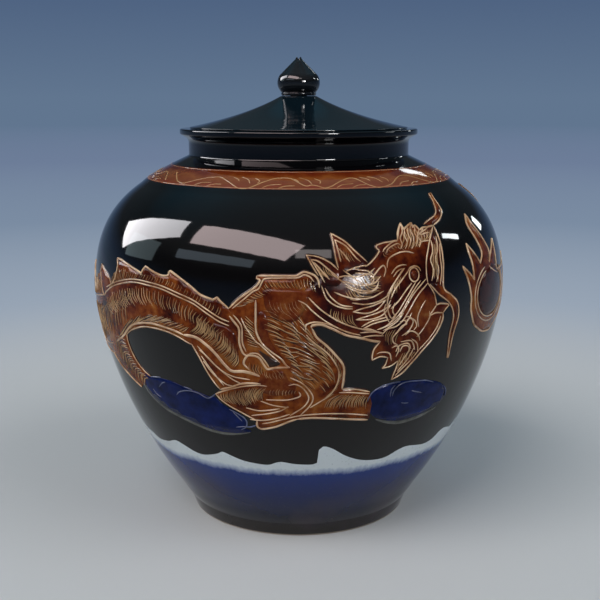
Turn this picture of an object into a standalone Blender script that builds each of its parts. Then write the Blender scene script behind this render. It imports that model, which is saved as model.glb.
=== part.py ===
# Lidded stoneware wine jar: a thrown body, a turned lid with a bud knob luted on, and the seal between them.
# Metres, +Z up. The origin is the centre of the foot, on the surface that the jar stands on.
# Every outline is a list of (radius, height) points in the half plane through the axis. It runs from the
# axis or the top, down the outer side, so that the turned faces point out.

import math

import bmesh
import bpy

# Body, outside
BELLY_RADIUS = 0.1988
BELLY_HEIGHT = 0.226
NECK_RADIUS = 0.1058
SHOULDER_RISE = 0.121
NECK_HEIGHT = 0.025
FOOT_RADIUS = 0.1068
FOOT_HEIGHT = 0.014
FOOT_DRAFT = 0.0052
SHOULDER_ANGLE = 65.0
FOOT_ANGLE = 37.3
SHOULDER_FULLNESS_SHARE = 0.475
UPPER_BELLY_SHARE = 0.624
LOWER_BELLY_SHARE = 0.177
FOOT_FULLNESS_SHARE = 0.505

# Rim and neck
RIM_OVERHANG = 0.0082
RIM_THICKNESS = 0.0065
RIM_COVE = 0.0035
NECK_COVE = 0.0025
MOUTH_ROUND = 0.0015

# Body, inside and underneath
WALL = 0.009
NECK_WALL = 0.0095
FLOOR_THICKNESS = 0.013
FLOOR_COVE = 0.012
SHOULDER_COVE = 0.004
FOOT_RING_WIDTH = 0.014
FOOT_RECESS = 0.0035
FOOT_SOFTENING = 0.008
FOOT_EDGE_ROUND = 0.0012

# Lid
LID_SETBACK = 0.0095
BRIM_THICKNESS = 0.002
BRIM_ROUND = 0.0009
CONE_HEIGHT = 0.028
BRIM_FLAT = 0.0045
CROWN_LEDGE = 0.0007
CROWN_ANGLE = 28.8
BRIM_ANGLE = 12.0
LID_WALL = 0.0065
CROWN_THICKNESS = 0.012
SPIGOT_WALL = 0.0065
SPIGOT_FILLET = 0.0012
SPIGOT_END = 0.0015
BEAD_HEIGHT = 0.0016
BEAD_STAND = 0.0014
HOLLOW_COVE = 0.005

# Seal ring
RING_HEIGHT = 0.011
RING_THICKNESS = 0.0047
FIN_DEPTH = 0.0016
FIN_TIP = 0.001
FIN_COUNT = 3

# Knob
KNOB_RADIUS = 0.0204
KNOB_HEIGHT = 0.0362
BULB_SWELL = 0.0041
BULB_HEIGHT = 0.012
BUD_START = 0.0195
STEM_HEIGHT = 0.0028
STEM_BEAD = 0.0006
TIP_ROUND = 0.0008
TENON_RADIUS = 0.008
TENON_LENGTH = 0.005
FOLD_DEPTH = 0.0009
FOLD_COUNT = 4
FOLD_WIDTH_SHARE = 0.35
FOLD_TURN = 12.0

# Fits between the pieces
SEAT_GAP = 0.0003
RING_GAP = 0.0003
LUTING_GAP = 0.0003

# Facets
BODY_SEGMENTS = 60
KNOB_SEGMENTS = 40
OUTER_CURVE_STEPS = 10
INNER_CURVE_STEPS = 8
CONE_STEPS = 6
BULB_STEPS = 8
SHARP_ANGLE = 35.0
MERGE_DISTANCE = 0.00002

# Sizes that follow from the ones above
NECK_FOOT_HEIGHT = BELLY_HEIGHT + SHOULDER_RISE
BODY_HEIGHT = NECK_FOOT_HEIGHT + NECK_HEIGHT
RIM_RADIUS = NECK_RADIUS + RIM_OVERHANG
BORE_RADIUS = NECK_RADIUS - NECK_WALL
BRIM_RADIUS = RIM_RADIUS - LID_SETBACK
RING_RADIUS = BORE_RADIUS - RING_GAP
RING_BORE_RADIUS = RING_RADIUS - RING_THICKNESS
SPIGOT_RADIUS = RING_BORE_RADIUS - RING_GAP
SPIGOT_LENGTH = RING_GAP + RING_HEIGHT + RING_GAP + BEAD_HEIGHT + SPIGOT_END
STEM_RADIUS = KNOB_RADIUS - BULB_SWELL
CROWN_RADIUS = STEM_RADIUS + CROWN_LEDGE
CROWN_HEIGHT = BRIM_THICKNESS + CONE_HEIGHT
SEAT_HEIGHT = BODY_HEIGHT + SEAT_GAP

# Colours of the fired glazes and of the silicone seal
BLACK_GLAZE = (0.012, 0.013, 0.016, 1.0)
LID_GLAZE = (0.014, 0.022, 0.027, 1.0)
KNOB_GLAZE = (0.010, 0.011, 0.013, 1.0)
SILICONE = (0.62, 0.61, 0.57, 1.0)
GLAZE_ROUGHNESS = 0.08
SILICONE_ROUGHNESS = 0.55


# Outline tools

def cubic(start, start_handle, end_handle, end, steps):
    """Points along a cubic curve, both ends included."""
    points = []
    for step in range(steps + 1):
        t = step / steps
        u = 1 - t
        weights = (u * u * u, 3 * u * u * t, 3 * u * t * t, t * t * t)
        corners = (start, start_handle, end_handle, end)
        points.append(tuple(sum(w * c[axis] for w, c in zip(weights, corners)) for axis in (0, 1)))
    return points


def quadratic(start, handle, end, steps):
    """Points along a quadratic curve, both ends included."""
    points = []
    for step in range(steps + 1):
        t = step / steps
        u = 1 - t
        points.append(tuple(u * u * s + 2 * u * t * h + t * t * e for s, h, e in zip(start, handle, end)))
    return points


def inset(points, distance):
    """The same curve, moved to its right by a distance, as a wall's inner face follows its outer face."""
    moved = []
    for index, (radius, height) in enumerate(points):
        before = points[max(index - 1, 0)]
        after = points[min(index + 1, len(points) - 1)]
        along = (after[0] - before[0], after[1] - before[1])
        length = math.hypot(*along)
        moved.append((radius + along[1] / length * distance, height - along[0] / length * distance))
    return moved


def at_height(first, second, height):
    """Where the line through two points reaches a height."""
    share = (height - first[1]) / (second[1] - first[1])
    return (first[0] + share * (second[0] - first[0]), height)


def at_radius(first, second, radius):
    """Where the line through two points reaches a radius."""
    share = (radius - first[0]) / (second[0] - first[0])
    return (radius, first[1] + share * (second[1] - first[1]))


def plain(points):
    """Outline corners without a fillet."""
    return [(radius, height, 0, 0) for radius, height in points]


def rounded(corners, closed=False):
    """Outline points from corners of (radius, height, fillet radius, fillet steps)."""
    points = []
    last = len(corners) - 1
    for index, (radius, height, fillet, steps) in enumerate(corners):
        at_end = index in (0, last) and not closed
        if steps == 0 or at_end:
            points.append((radius, height))
            continue
        before = corners[index - 1]
        after = corners[(index + 1) % len(corners)]
        into = (radius - before[0], height - before[1])
        out = (after[0] - radius, after[1] - height)
        into_length = math.hypot(*into)
        out_length = math.hypot(*out)
        into = (into[0] / into_length, into[1] / into_length)
        out = (out[0] / out_length, out[1] / out_length)
        turn = math.atan2(into[0] * out[1] - into[1] * out[0], into[0] * out[0] + into[1] * out[1])
        tangent = min(fillet * math.tan(abs(turn) / 2), 0.49 * into_length, 0.49 * out_length)
        arc_radius = tangent / math.tan(abs(turn) / 2)
        side = math.copysign(1, turn)
        start = (radius - into[0] * tangent, height - into[1] * tangent)
        centre = (start[0] - into[1] * arc_radius * side, start[1] + into[0] * arc_radius * side)
        spoke = (start[0] - centre[0], start[1] - centre[1])
        for step in range(steps + 1):
            angle = turn * step / steps
            points.append((centre[0] + spoke[0] * math.cos(angle) - spoke[1] * math.sin(angle),
                           centre[1] + spoke[0] * math.sin(angle) + spoke[1] * math.cos(angle)))
    return points


# Solids and materials

def turned(outline, segments, closed=False):
    """A bmesh turned from an outline about the Z axis."""
    mesh = bmesh.new()
    verts = [mesh.verts.new((radius, 0, height)) for radius, height in outline]
    pairs = list(zip(verts, verts[1:]))
    if closed:
        pairs.append((verts[-1], verts[0]))
    edges = [mesh.edges.new(pair) for pair in pairs]
    bmesh.ops.spin(mesh, geom=verts + edges, cent=(0, 0, 0), axis=(0, 0, 1), angle=math.tau,
                   steps=segments, use_merge=True)
    bmesh.ops.remove_doubles(mesh, verts=mesh.verts, dist=MERGE_DISTANCE)
    bmesh.ops.recalc_face_normals(mesh, faces=mesh.faces)
    return mesh


def material(name, colour, roughness):
    """A plain dielectric finish."""
    finish = bpy.data.materials.new(name)
    finish.use_nodes = True
    finish.diffuse_color = colour
    shader = finish.node_tree.nodes["Principled BSDF"]
    shader.inputs["Base Color"].default_value = colour
    shader.inputs["Roughness"].default_value = roughness
    shader.inputs["Metallic"].default_value = 0
    return finish


def placed(name, solid, finish, parent=None, height=0):
    """A named, smooth-shaded object from a bmesh, at a height above its parent."""
    mesh = bpy.data.meshes.new(name)
    solid.to_mesh(mesh)
    solid.free()
    mesh.shade_smooth()
    mesh.set_sharp_from_angle(angle=math.radians(SHARP_ANGLE))
    mesh.materials.append(finish)
    piece = bpy.data.objects.new(name, mesh)
    piece.parent = parent
    piece.location.z = height
    bpy.context.collection.objects.link(piece)
    return piece


# Thrown body, with its foot, neck and flanged rim in one piece of clay

def upper_wall(steps):
    """The outer wall from the foot of the neck down to the widest ring."""
    angle = math.radians(SHOULDER_ANGLE)
    reach = SHOULDER_FULLNESS_SHARE * SHOULDER_RISE
    return cubic((NECK_RADIUS, NECK_FOOT_HEIGHT),
                 (NECK_RADIUS + reach * math.sin(angle), NECK_FOOT_HEIGHT - reach * math.cos(angle)),
                 (BELLY_RADIUS, BELLY_HEIGHT + UPPER_BELLY_SHARE * SHOULDER_RISE),
                 (BELLY_RADIUS, BELLY_HEIGHT), steps)


def lower_wall(steps):
    """The outer wall from the widest ring down to the foot."""
    rise = BELLY_HEIGHT - FOOT_HEIGHT
    angle = math.radians(FOOT_ANGLE)
    reach = FOOT_FULLNESS_SHARE * rise
    foot_top = FOOT_RADIUS + FOOT_DRAFT
    return cubic((BELLY_RADIUS, BELLY_HEIGHT),
                 (BELLY_RADIUS, BELLY_HEIGHT - LOWER_BELLY_SHARE * rise),
                 (foot_top + reach * math.sin(angle), FOOT_HEIGHT + reach * math.cos(angle)),
                 (foot_top, FOOT_HEIGHT), steps)


def body_outline():
    """The body's section: inner floor, inner wall, mouth, rim, neck, belly, foot and recessed base."""
    floor = FOOT_RECESS + FLOOR_THICKNESS
    under_rim = BODY_HEIGHT - RIM_THICKNESS
    outer = upper_wall(OUTER_CURVE_STEPS) + lower_wall(OUTER_CURVE_STEPS)[1:]
    inner = inset(upper_wall(INNER_CURVE_STEPS) + lower_wall(INNER_CURVE_STEPS)[1:], WALL)
    inner = [point for point in inner
             if point[1] > floor + FLOOR_COVE / 2 and point[0] > BORE_RADIUS + SHOULDER_COVE]
    inner.reverse()
    wall_foot = at_height(inner[0], inner[1], floor)
    wall_top = at_radius(inner[-2], inner[-1], BORE_RADIUS)
    ring_inner = FOOT_RADIUS - FOOT_RING_WIDTH
    corners = [(0, floor, 0, 0), (*wall_foot, FLOOR_COVE, 3)]
    corners += plain(inner)
    corners += [(*wall_top, SHOULDER_COVE, 2),
                (BORE_RADIUS, BODY_HEIGHT, MOUTH_ROUND, 2),
                (RIM_RADIUS, BODY_HEIGHT, RIM_THICKNESS / 2, 3),
                (RIM_RADIUS, under_rim, RIM_THICKNESS / 2, 3),
                (NECK_RADIUS, under_rim, RIM_COVE, 3),
                (*outer[0], NECK_COVE, 2)]
    corners += plain(outer[1:-1])
    corners += [(*outer[-1], FOOT_SOFTENING, 2),
                (FOOT_RADIUS, 0, FOOT_EDGE_ROUND, 2),
                (ring_inner, 0, FOOT_EDGE_ROUND, 1),
                (ring_inner - FOOT_RECESS, FOOT_RECESS, FOOT_EDGE_ROUND, 1),
                (0, FOOT_RECESS, 0, 0)]
    return rounded(corners)


def make_body():
    """The jar's body, standing on its foot ring."""
    return placed("jar_body", turned(body_outline(), BODY_SEGMENTS),
                  material("black_glaze", BLACK_GLAZE, GLAZE_ROUGHNESS))


# Lid: a low concave cone over a hollow, with a thin brim and a spigot that carries the seal ring

def cone(steps):
    """The lid's upper face from the crown out to the brim."""
    start = (CROWN_RADIUS, CROWN_HEIGHT)
    end = (BRIM_RADIUS - BRIM_FLAT, BRIM_THICKNESS)
    fall_in = math.tan(math.radians(CROWN_ANGLE))
    fall_out = math.tan(math.radians(BRIM_ANGLE))
    run = (start[1] - end[1] - fall_out * (end[0] - start[0])) / (fall_in - fall_out)
    return quadratic(start, (start[0] + run, start[1] - fall_in * run), end, steps)


def lid_outline():
    """The lid's section, with heights above the face that rests on the rim."""
    outer = cone(CONE_STEPS)
    hollow_top = CROWN_HEIGHT - CROWN_THICKNESS
    hollow_radius = SPIGOT_RADIUS - SPIGOT_WALL
    inner = [point for point in inset(outer, LID_WALL)
             if point[1] < hollow_top - BRIM_THICKNESS and point[0] < hollow_radius - BRIM_THICKNESS]
    inner.reverse()
    hollow_edge = at_radius(inner[1], inner[0], hollow_radius)
    hollow_crown = at_height(inner[-2], inner[-1], hollow_top)
    socket_radius = TENON_RADIUS + LUTING_GAP
    socket_floor = CROWN_HEIGHT - TENON_LENGTH - LUTING_GAP
    bead_top = SPIGOT_END + BEAD_HEIGHT - SPIGOT_LENGTH
    corners = [(0, socket_floor, 0, 0),
               (socket_radius, socket_floor, 0, 0),
               (socket_radius, CROWN_HEIGHT, 0, 0)]
    corners += plain(outer)
    corners += [(BRIM_RADIUS, BRIM_THICKNESS, BRIM_ROUND, 2),
                (BRIM_RADIUS, 0, BRIM_ROUND, 2),
                (SPIGOT_RADIUS, 0, 0, 0),
                (SPIGOT_RADIUS, bead_top, 0, 0),
                (SPIGOT_RADIUS + BEAD_STAND, bead_top, BEAD_STAND / 2, 1),
                (SPIGOT_RADIUS, bead_top - BEAD_HEIGHT, 0, 0),
                (SPIGOT_RADIUS, -SPIGOT_LENGTH, SPIGOT_FILLET, 1),
                (hollow_radius, -SPIGOT_LENGTH, SPIGOT_FILLET, 1),
                (*hollow_edge, HOLLOW_COVE, 2)]
    corners += plain(inner)
    corners += [(*hollow_crown, 0, 0), (0, hollow_top, 0, 0)]
    return rounded(corners)


def make_lid(axis):
    """The lid, resting on the rim."""
    return placed("lid", turned(lid_outline(), BODY_SEGMENTS),
                  material("lid_glaze", LID_GLAZE, GLAZE_ROUGHNESS), axis)


# Seal ring: silicone, held on the spigot between the brim and the bead, with fins that wipe the bore

def make_seal_ring(axis):
    """The seal ring in its place under the brim."""
    top = -RING_GAP
    pitch = RING_HEIGHT / FIN_COUNT
    valley_radius = RING_RADIUS - FIN_DEPTH
    outline = [(RING_BORE_RADIUS, top), (valley_radius, top)]
    for fin in range(FIN_COUNT):
        middle = top - pitch * (fin + 0.5)
        outline += [(RING_RADIUS, middle + FIN_TIP / 2),
                    (RING_RADIUS, middle - FIN_TIP / 2),
                    (valley_radius, top - pitch * (fin + 1))]
    outline.append((RING_BORE_RADIUS, top - RING_HEIGHT))
    return placed("seal_ring", turned(outline, BODY_SEGMENTS, closed=True),
                  material("seal_silicone", SILICONE, SILICONE_ROUGHNESS), axis)


# Knob: a stem bead, a round bulb and a pointed bud of folded clay, with a tenon luted into the crown

def bulb():
    """The bulb's outline, from the foot of the bud down to the stem."""
    fall = BULB_HEIGHT - STEM_HEIGHT
    round_radius = (fall * fall + BULB_SWELL * BULB_SWELL) / (2 * BULB_SWELL)
    centre = KNOB_RADIUS - round_radius
    top = math.asin(min((BUD_START - BULB_HEIGHT) / round_radius, 1))
    bottom = -math.asin(min(fall / round_radius, 1))
    points = []
    for step in range(BULB_STEPS + 1):
        angle = top + (bottom - top) * step / BULB_STEPS
        points.append((centre + round_radius * math.cos(angle),
                       BULB_HEIGHT + round_radius * math.sin(angle)))
    return points


def knob_outline():
    """The knob's section, with heights above its seat on the crown."""
    bud_foot = bulb()[0]
    tip = [(0, KNOB_HEIGHT), (TIP_ROUND, KNOB_HEIGHT - TIP_ROUND / 2)]
    bud = []
    for step in range(1, CONE_STEPS):
        share = step / CONE_STEPS
        bud.append((TIP_ROUND + (bud_foot[0] - TIP_ROUND) * share,
                    KNOB_HEIGHT - TIP_ROUND / 2 + (bud_foot[1] - KNOB_HEIGHT + TIP_ROUND / 2) * share))
    stem = [(STEM_RADIUS + STEM_BEAD, STEM_HEIGHT * 3 / 4),
            (STEM_RADIUS + STEM_BEAD, STEM_HEIGHT / 2),
            (STEM_RADIUS, STEM_HEIGHT / 4),
            (STEM_RADIUS, 0)]
    tenon = [(TENON_RADIUS, 0), (TENON_RADIUS, -TENON_LENGTH), (0, -TENON_LENGTH)]
    return tip + bud + bulb() + stem + tenon


def fold_bud(solid):
    """Presses the creases between the bud's folds, deepest halfway between its foot and its tip."""
    for vert in solid.verts:
        rise = (vert.co.z - BUD_START) / (KNOB_HEIGHT - BUD_START)
        radius = math.hypot(vert.co.x, vert.co.y)
        if rise <= 0 or radius <= TIP_ROUND:
            continue
        turn = math.atan2(vert.co.y, vert.co.x) - math.radians(FOLD_TURN)
        from_crease = abs(math.sin(turn * FOLD_COUNT / 2))
        depth = FOLD_DEPTH * math.sin(math.pi * rise) * max(0, 1 - from_crease / FOLD_WIDTH_SHARE)
        vert.co.x *= 1 - depth / radius
        vert.co.y *= 1 - depth / radius


def make_knob(lid):
    """The knob, luted on the lid's crown."""
    solid = turned(knob_outline(), KNOB_SEGMENTS)
    fold_bud(solid)
    return placed("lid_knob", solid, material("knob_glaze", KNOB_GLAZE, GLAZE_ROUGHNESS),
                  lid, CROWN_HEIGHT + LUTING_GAP)


def main():
    for thing in list(bpy.data.objects):
        bpy.data.objects.remove(thing)
    make_body()
    lid_axis = bpy.data.objects.new("lid_axis", None)
    lid_axis.location.z = SEAT_HEIGHT
    bpy.context.collection.objects.link(lid_axis)
    make_seal_ring(lid_axis)
    make_knob(make_lid(lid_axis))


main()
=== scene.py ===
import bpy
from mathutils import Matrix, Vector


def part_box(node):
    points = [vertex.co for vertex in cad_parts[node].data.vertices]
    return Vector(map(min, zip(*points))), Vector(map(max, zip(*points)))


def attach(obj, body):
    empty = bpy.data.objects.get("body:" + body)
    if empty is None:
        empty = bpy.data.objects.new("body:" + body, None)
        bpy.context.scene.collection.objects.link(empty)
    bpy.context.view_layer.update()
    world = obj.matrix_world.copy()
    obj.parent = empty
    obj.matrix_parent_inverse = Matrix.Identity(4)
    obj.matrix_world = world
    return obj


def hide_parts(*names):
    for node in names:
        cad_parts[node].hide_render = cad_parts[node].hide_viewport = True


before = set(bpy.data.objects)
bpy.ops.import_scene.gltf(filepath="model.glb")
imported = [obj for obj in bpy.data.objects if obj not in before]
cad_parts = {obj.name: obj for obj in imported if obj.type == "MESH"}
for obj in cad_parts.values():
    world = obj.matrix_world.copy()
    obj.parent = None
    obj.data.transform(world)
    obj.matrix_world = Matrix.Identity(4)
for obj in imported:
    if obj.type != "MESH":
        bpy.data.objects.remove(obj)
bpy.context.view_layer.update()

# Looks of a big-bellied stoneware wine jar: black glaze over a carved dragon and clouds, a rust-coloured
# band on the shoulder, a white and cobalt foot, and a glossy lid with a bud knob.
# Metres, +Z up. The carved side faces -Y. Pixel coordinates are in the photograph's frame of 600 x 600.

import math
import random

import bpy
import mathutils
import numpy as np
from mathutils import geometry

# The photograph's camera

IMAGE_WIDTH = 600
IMAGE_CENTRE = (300, 300)
FOCAL_PIXELS = 976
SENSOR_WIDTH = 36
CAMERA_PLACE = (0.0013, -0.955, 0.401)
CAMERA_TILT = math.radians(11.73)
CAMERA_FORWARD = np.array([0, math.cos(CAMERA_TILT), -math.sin(CAMERA_TILT)])
CAMERA_UP = np.array([0, math.sin(CAMERA_TILT), math.cos(CAMERA_TILT)])
CAMERA_RIGHT = np.array([1.0, 0, 0])
NEAR_RAY = 0.70
FAR_RAY = 1.05
RAY_STEPS = 500

# Sizes from the frame, and those of the outline between them

jar_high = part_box("jar_body")[1]
lid_low, lid_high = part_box("lid")
knob_low, knob_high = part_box("lid_knob")
BELLY_RADIUS = jar_high.x
BODY_HEIGHT = jar_high.z
BELLY_HEIGHT = 0.226
NECK_RADIUS = 0.1058
NECK_FOOT_HEIGHT = 0.347
NECK_COVE = 0.0025
RIM_RADIUS = 0.114
RIM_THICKNESS = 0.0050
RIM_DEPTH = 0.0098
RIM_ROUND = 0.0016
RIM_COVE = 0.0060
MOUTH_ROUND = 0.0015
BORE_RADIUS = 0.0963
WALL = 0.009
FLOOR_HEIGHT = 0.0165
FLOOR_COVE = 0.012
SHOULDER_COVE = 0.004
FOOT_RADIUS = 0.1068
FOOT_HEIGHT = 0.014
FOOT_DRAFT = 0.0052
FOOT_RING_WIDTH = 0.014
FOOT_RECESS = 0.0035
FOOT_SOFTENING = 0.008
FOOT_EDGE_ROUND = 0.0012
SHOULDER_ANGLE = math.radians(65)
FOOT_ANGLE = math.radians(37.3)
SHOULDER_FULLNESS = 0.475
UPPER_BELLY = 0.624
LOWER_BELLY = 0.177
FOOT_FULLNESS = 0.505
BODY_COLUMNS = 400
BODY_STEPS = 62
INNER_STEPS = 24
CURVE_STEPS = 220


def cubic(start, start_handle, end_handle, end, steps):
    """Points along a cubic curve, both ends included."""
    t = np.linspace(0, 1, steps + 1)[:, None]
    corners = [np.array(corner, float) for corner in (start, start_handle, end_handle, end)]
    weights = ((1 - t) ** 3, 3 * t * (1 - t) ** 2, 3 * t ** 2 * (1 - t), t ** 3)
    return sum(weight * corner for weight, corner in zip(weights, corners))


def outer_wall(steps):
    """The outer wall from the foot of the neck over the belly to the foot."""
    rise = NECK_FOOT_HEIGHT - BELLY_HEIGHT
    reach = SHOULDER_FULLNESS * rise
    upper = cubic((NECK_RADIUS, NECK_FOOT_HEIGHT),
                  (NECK_RADIUS + reach * math.sin(SHOULDER_ANGLE),
                   NECK_FOOT_HEIGHT - reach * math.cos(SHOULDER_ANGLE)),
                  (BELLY_RADIUS, BELLY_HEIGHT + UPPER_BELLY * rise),
                  (BELLY_RADIUS, BELLY_HEIGHT), steps)
    fall = BELLY_HEIGHT - FOOT_HEIGHT
    reach = FOOT_FULLNESS * fall
    foot_top = FOOT_RADIUS + FOOT_DRAFT
    lower = cubic((BELLY_RADIUS, BELLY_HEIGHT),
                  (BELLY_RADIUS, BELLY_HEIGHT - LOWER_BELLY * fall),
                  (foot_top + reach * math.sin(FOOT_ANGLE), FOOT_HEIGHT + reach * math.cos(FOOT_ANGLE)),
                  (foot_top, FOOT_HEIGHT), steps)
    return np.concatenate([upper, lower[1:]])


def outward(points):
    """Unit vectors that point out of a wall whose outline runs downward."""
    tangents = np.gradient(points, axis=0)
    across = np.stack([-tangents[:, 1], tangents[:, 0]], axis=1)
    return across / np.linalg.norm(across, axis=1)[:, None]


def lengths(points):
    """How far each point lies along its line."""
    return np.concatenate([[0], np.cumsum(np.linalg.norm(np.diff(points, axis=0), axis=1))])


WALL_POINTS = outer_wall(CURVE_STEPS)
WALL_NORMALS = outward(WALL_POINTS)
WALL_RUN = lengths(WALL_POINTS)


def wall_at(run):
    """Radius, height and outward normal of the wall at a run measured down from the neck."""
    return [np.interp(run, WALL_RUN, values) for values in (*WALL_POINTS.T, *WALL_NORMALS.T)]


def run_at_height(height):
    """The run down the wall at a height."""
    return np.interp(-np.asarray(height), -WALL_POINTS[:, 1], WALL_RUN)


def on_wall(angle, run, lift):
    """Points on the wall at an angle from the front, a run and a lift off the fired surface."""
    radius, height, normal_r, normal_z = wall_at(run)
    reach = radius + normal_r * lift
    return np.stack([reach * np.sin(angle), -reach * np.cos(angle), height + normal_z * lift], axis=-1)


def pixel_rays(pixels):
    """Unit rays from the camera through pixels of the photograph."""
    pixels = np.asarray(pixels, float)
    right = (pixels[:, 0] - IMAGE_CENTRE[0]) / FOCAL_PIXELS
    up = (IMAGE_CENTRE[1] - pixels[:, 1]) / FOCAL_PIXELS
    rays = CAMERA_FORWARD + right[:, None] * CAMERA_RIGHT + up[:, None] * CAMERA_UP
    return rays / np.linalg.norm(rays, axis=1)[:, None]


def pixels_to_wall(pixels):
    """The (angle, run) places on the wall that the photograph shows at pixels."""
    rays = pixel_rays(pixels)
    reach = np.linspace(NEAR_RAY, FAR_RAY, RAY_STEPS)
    points = np.array(CAMERA_PLACE) + rays[:, None, :] * reach[None, :, None]
    wall_radius = np.interp(-points[..., 2], -WALL_POINTS[:, 1], WALL_POINTS[:, 0])
    clear = np.hypot(points[..., 0], points[..., 1]) - wall_radius
    inside = clear < 0
    first = np.where(inside.any(axis=1), inside.argmax(axis=1), clear.argmin(axis=1))
    places = []
    for index, step in enumerate(first):
        before = max(step - 1, 0)
        ahead, behind = clear[index, before], clear[index, step]
        share = ahead / (ahead - behind) if ahead > 0 > behind else 1
        point = points[index, before] + (points[index, step] - points[index, before]) * share
        places.append((math.atan2(point[0], -point[1]), float(run_at_height(point[2]))))
    return np.array(places)


# Meshes and materials

# Lengths below this count as nothing.
TINY = 1e-6
# A fillet takes up at most this share of each edge beside it.
EDGE_SHARE = 0.49


def add_mesh(name, verts, faces, material, body):
    """A named smooth piece from plain vertices and faces, riding on a body."""
    mesh = bpy.data.meshes.new(name)
    mesh.from_pydata([tuple(vert) for vert in verts], [], faces)
    mesh.validate()
    mesh.shade_smooth()
    mesh.materials.append(material)
    piece = bpy.data.objects.new(name, mesh)
    bpy.context.scene.collection.objects.link(piece)
    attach(piece, body)
    return piece


def around(columns):
    """Even angles round the axis, from the front."""
    return [math.tau * column / columns for column in range(columns)]


def lathe(outline, angles):
    """Vertices and faces turned from (radius, height) points. Points on the axis become one vertex."""
    verts = []
    rows = []
    columns = len(angles)
    for radius, height in outline:
        if radius < TINY:
            rows.append([len(verts)] * columns)
            verts.append((0, 0, height))
            continue
        rows.append(list(range(len(verts), len(verts) + columns)))
        verts += [(radius * math.sin(angle), -radius * math.cos(angle), height) for angle in angles]
    faces = []
    for upper, lower in zip(rows, rows[1:]):
        for column in range(columns):
            after = (column + 1) % columns
            corners = [upper[column], lower[column], lower[after], upper[after]]
            face = [corner for index, corner in enumerate(corners) if corner not in corners[:index]]
            if len(face) > 2:
                faces.append(face)
    return verts, faces


def rounded(corners):
    """Outline points from corners of (radius, height, fillet radius, fillet steps)."""
    points = []
    for index, (radius, height, fillet, steps) in enumerate(corners):
        if steps == 0 or index in (0, len(corners) - 1):
            points.append((radius, height))
            continue
        corner = np.array([radius, height])
        into = corner - np.array(corners[index - 1][:2])
        out = np.array(corners[index + 1][:2]) - corner
        into_length, out_length = np.linalg.norm(into), np.linalg.norm(out)
        into, out = into / into_length, out / out_length
        turn = math.atan2(into[0] * out[1] - into[1] * out[0], into.dot(out))
        tangent = min(fillet * math.tan(abs(turn) / 2), EDGE_SHARE * into_length, EDGE_SHARE * out_length)
        arc_radius = tangent / math.tan(abs(turn) / 2)
        start = corner - into * tangent
        centre = start + np.array([-into[1], into[0]]) * arc_radius * math.copysign(1, turn)
        spoke = start - centre
        for step in range(steps + 1):
            cosine, sine = math.cos(turn * step / steps), math.sin(turn * step / steps)
            points.append((centre[0] + spoke[0] * cosine - spoke[1] * sine,
                           centre[1] + spoke[0] * sine + spoke[1] * cosine))
    return points


def plain(points):
    """Outline corners without a fillet."""
    return [(float(radius), float(height), 0, 0) for radius, height in points]


def rgb(red, green, blue):
    """A colour with full opacity."""
    return (red, green, blue, 1.0)


class Nodes:
    """A short way to lay out the nodes of a material or world."""

    def __init__(self, owner):
        owner.use_nodes = True
        self.owner = owner
        self.tree = owner.node_tree
        self.shader = self.tree.nodes.get("Principled BSDF")

    def add(self, kind, settings=None, **links):
        """A node of a kind, with settings and with inputs given as values or as other nodes' sockets."""
        node = self.tree.nodes.new("ShaderNode" + kind)
        for name, value in (settings or {}).items():
            setattr(node, name, value)
        for name, value in links.items():
            self.feed(node.inputs[int(name[1:]) if name[0] == "_" else name.replace("_", " ")], value)
        return node

    def feed(self, socket, value):
        """Links a socket to another or gives it a constant."""
        if isinstance(value, bpy.types.NodeSocket):
            self.tree.links.new(value, socket)
        else:
            socket.default_value = value

    def maths(self, operation, first, second=0.0, clamp=False):
        """One sum of two numbers or sockets."""
        return self.add("Math", {"operation": operation, "use_clamp": clamp}, _0=first, _1=second).outputs[0]

    def above(self, value, start, gain, clamp=True):
        """How far a value lies above a start, times a gain, and from 0 to 1 if clamped."""
        return self.maths("MULTIPLY", self.maths("SUBTRACT", value, start), gain, clamp)

    def ramp(self, value, stops):
        """A colour ramp with (position, colour) stops."""
        node = self.add("ValToRGB", _0=value)
        elements = node.color_ramp.elements
        elements[0].position, elements[0].color = stops[0]
        elements[1].position, elements[1].color = stops[-1]
        for position, colour in stops[1:-1]:
            elements.new(position).color = colour
        return node.outputs[0]

    def mix(self, share, first, second):
        """A blend of two colours."""
        node = self.add("Mix", {"data_type": "RGBA"})
        for name, value in (("Factor", share), ("A", first), ("B", second)):
            self.feed(node.inputs[name], value)
        return node.outputs["Result"]

    def noise(self, scale, detail, place=None, stretch=None):
        """Fractal noise in metres of the piece's own frame, stretched if asked."""
        place = place or self.add("TexCoord").outputs["Object"]
        if stretch:
            place = self.add("Mapping", _0=place, Scale=stretch).outputs[0]
        return self.add("TexNoise", Vector=place, Scale=scale, Detail=detail).outputs[0]

    def bump(self, height, strength, distance):
        """A bump on the shader's normal."""
        node = self.add("Bump", Strength=strength, Distance=distance, Height=height)
        self.feed(self.shader.inputs["Normal"], node.outputs[0])

    def finish(self, colour, roughness, ior):
        """The material, with the shader's colour, roughness and index of refraction."""
        self.feed(self.shader.inputs["Base Color"], colour)
        self.feed(self.shader.inputs["Roughness"], roughness)
        self.shader.inputs["IOR"].default_value = ior
        return self.owner


def material_nodes(name):
    """The nodes of a new material."""
    return Nodes(bpy.data.materials.new(name))


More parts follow.
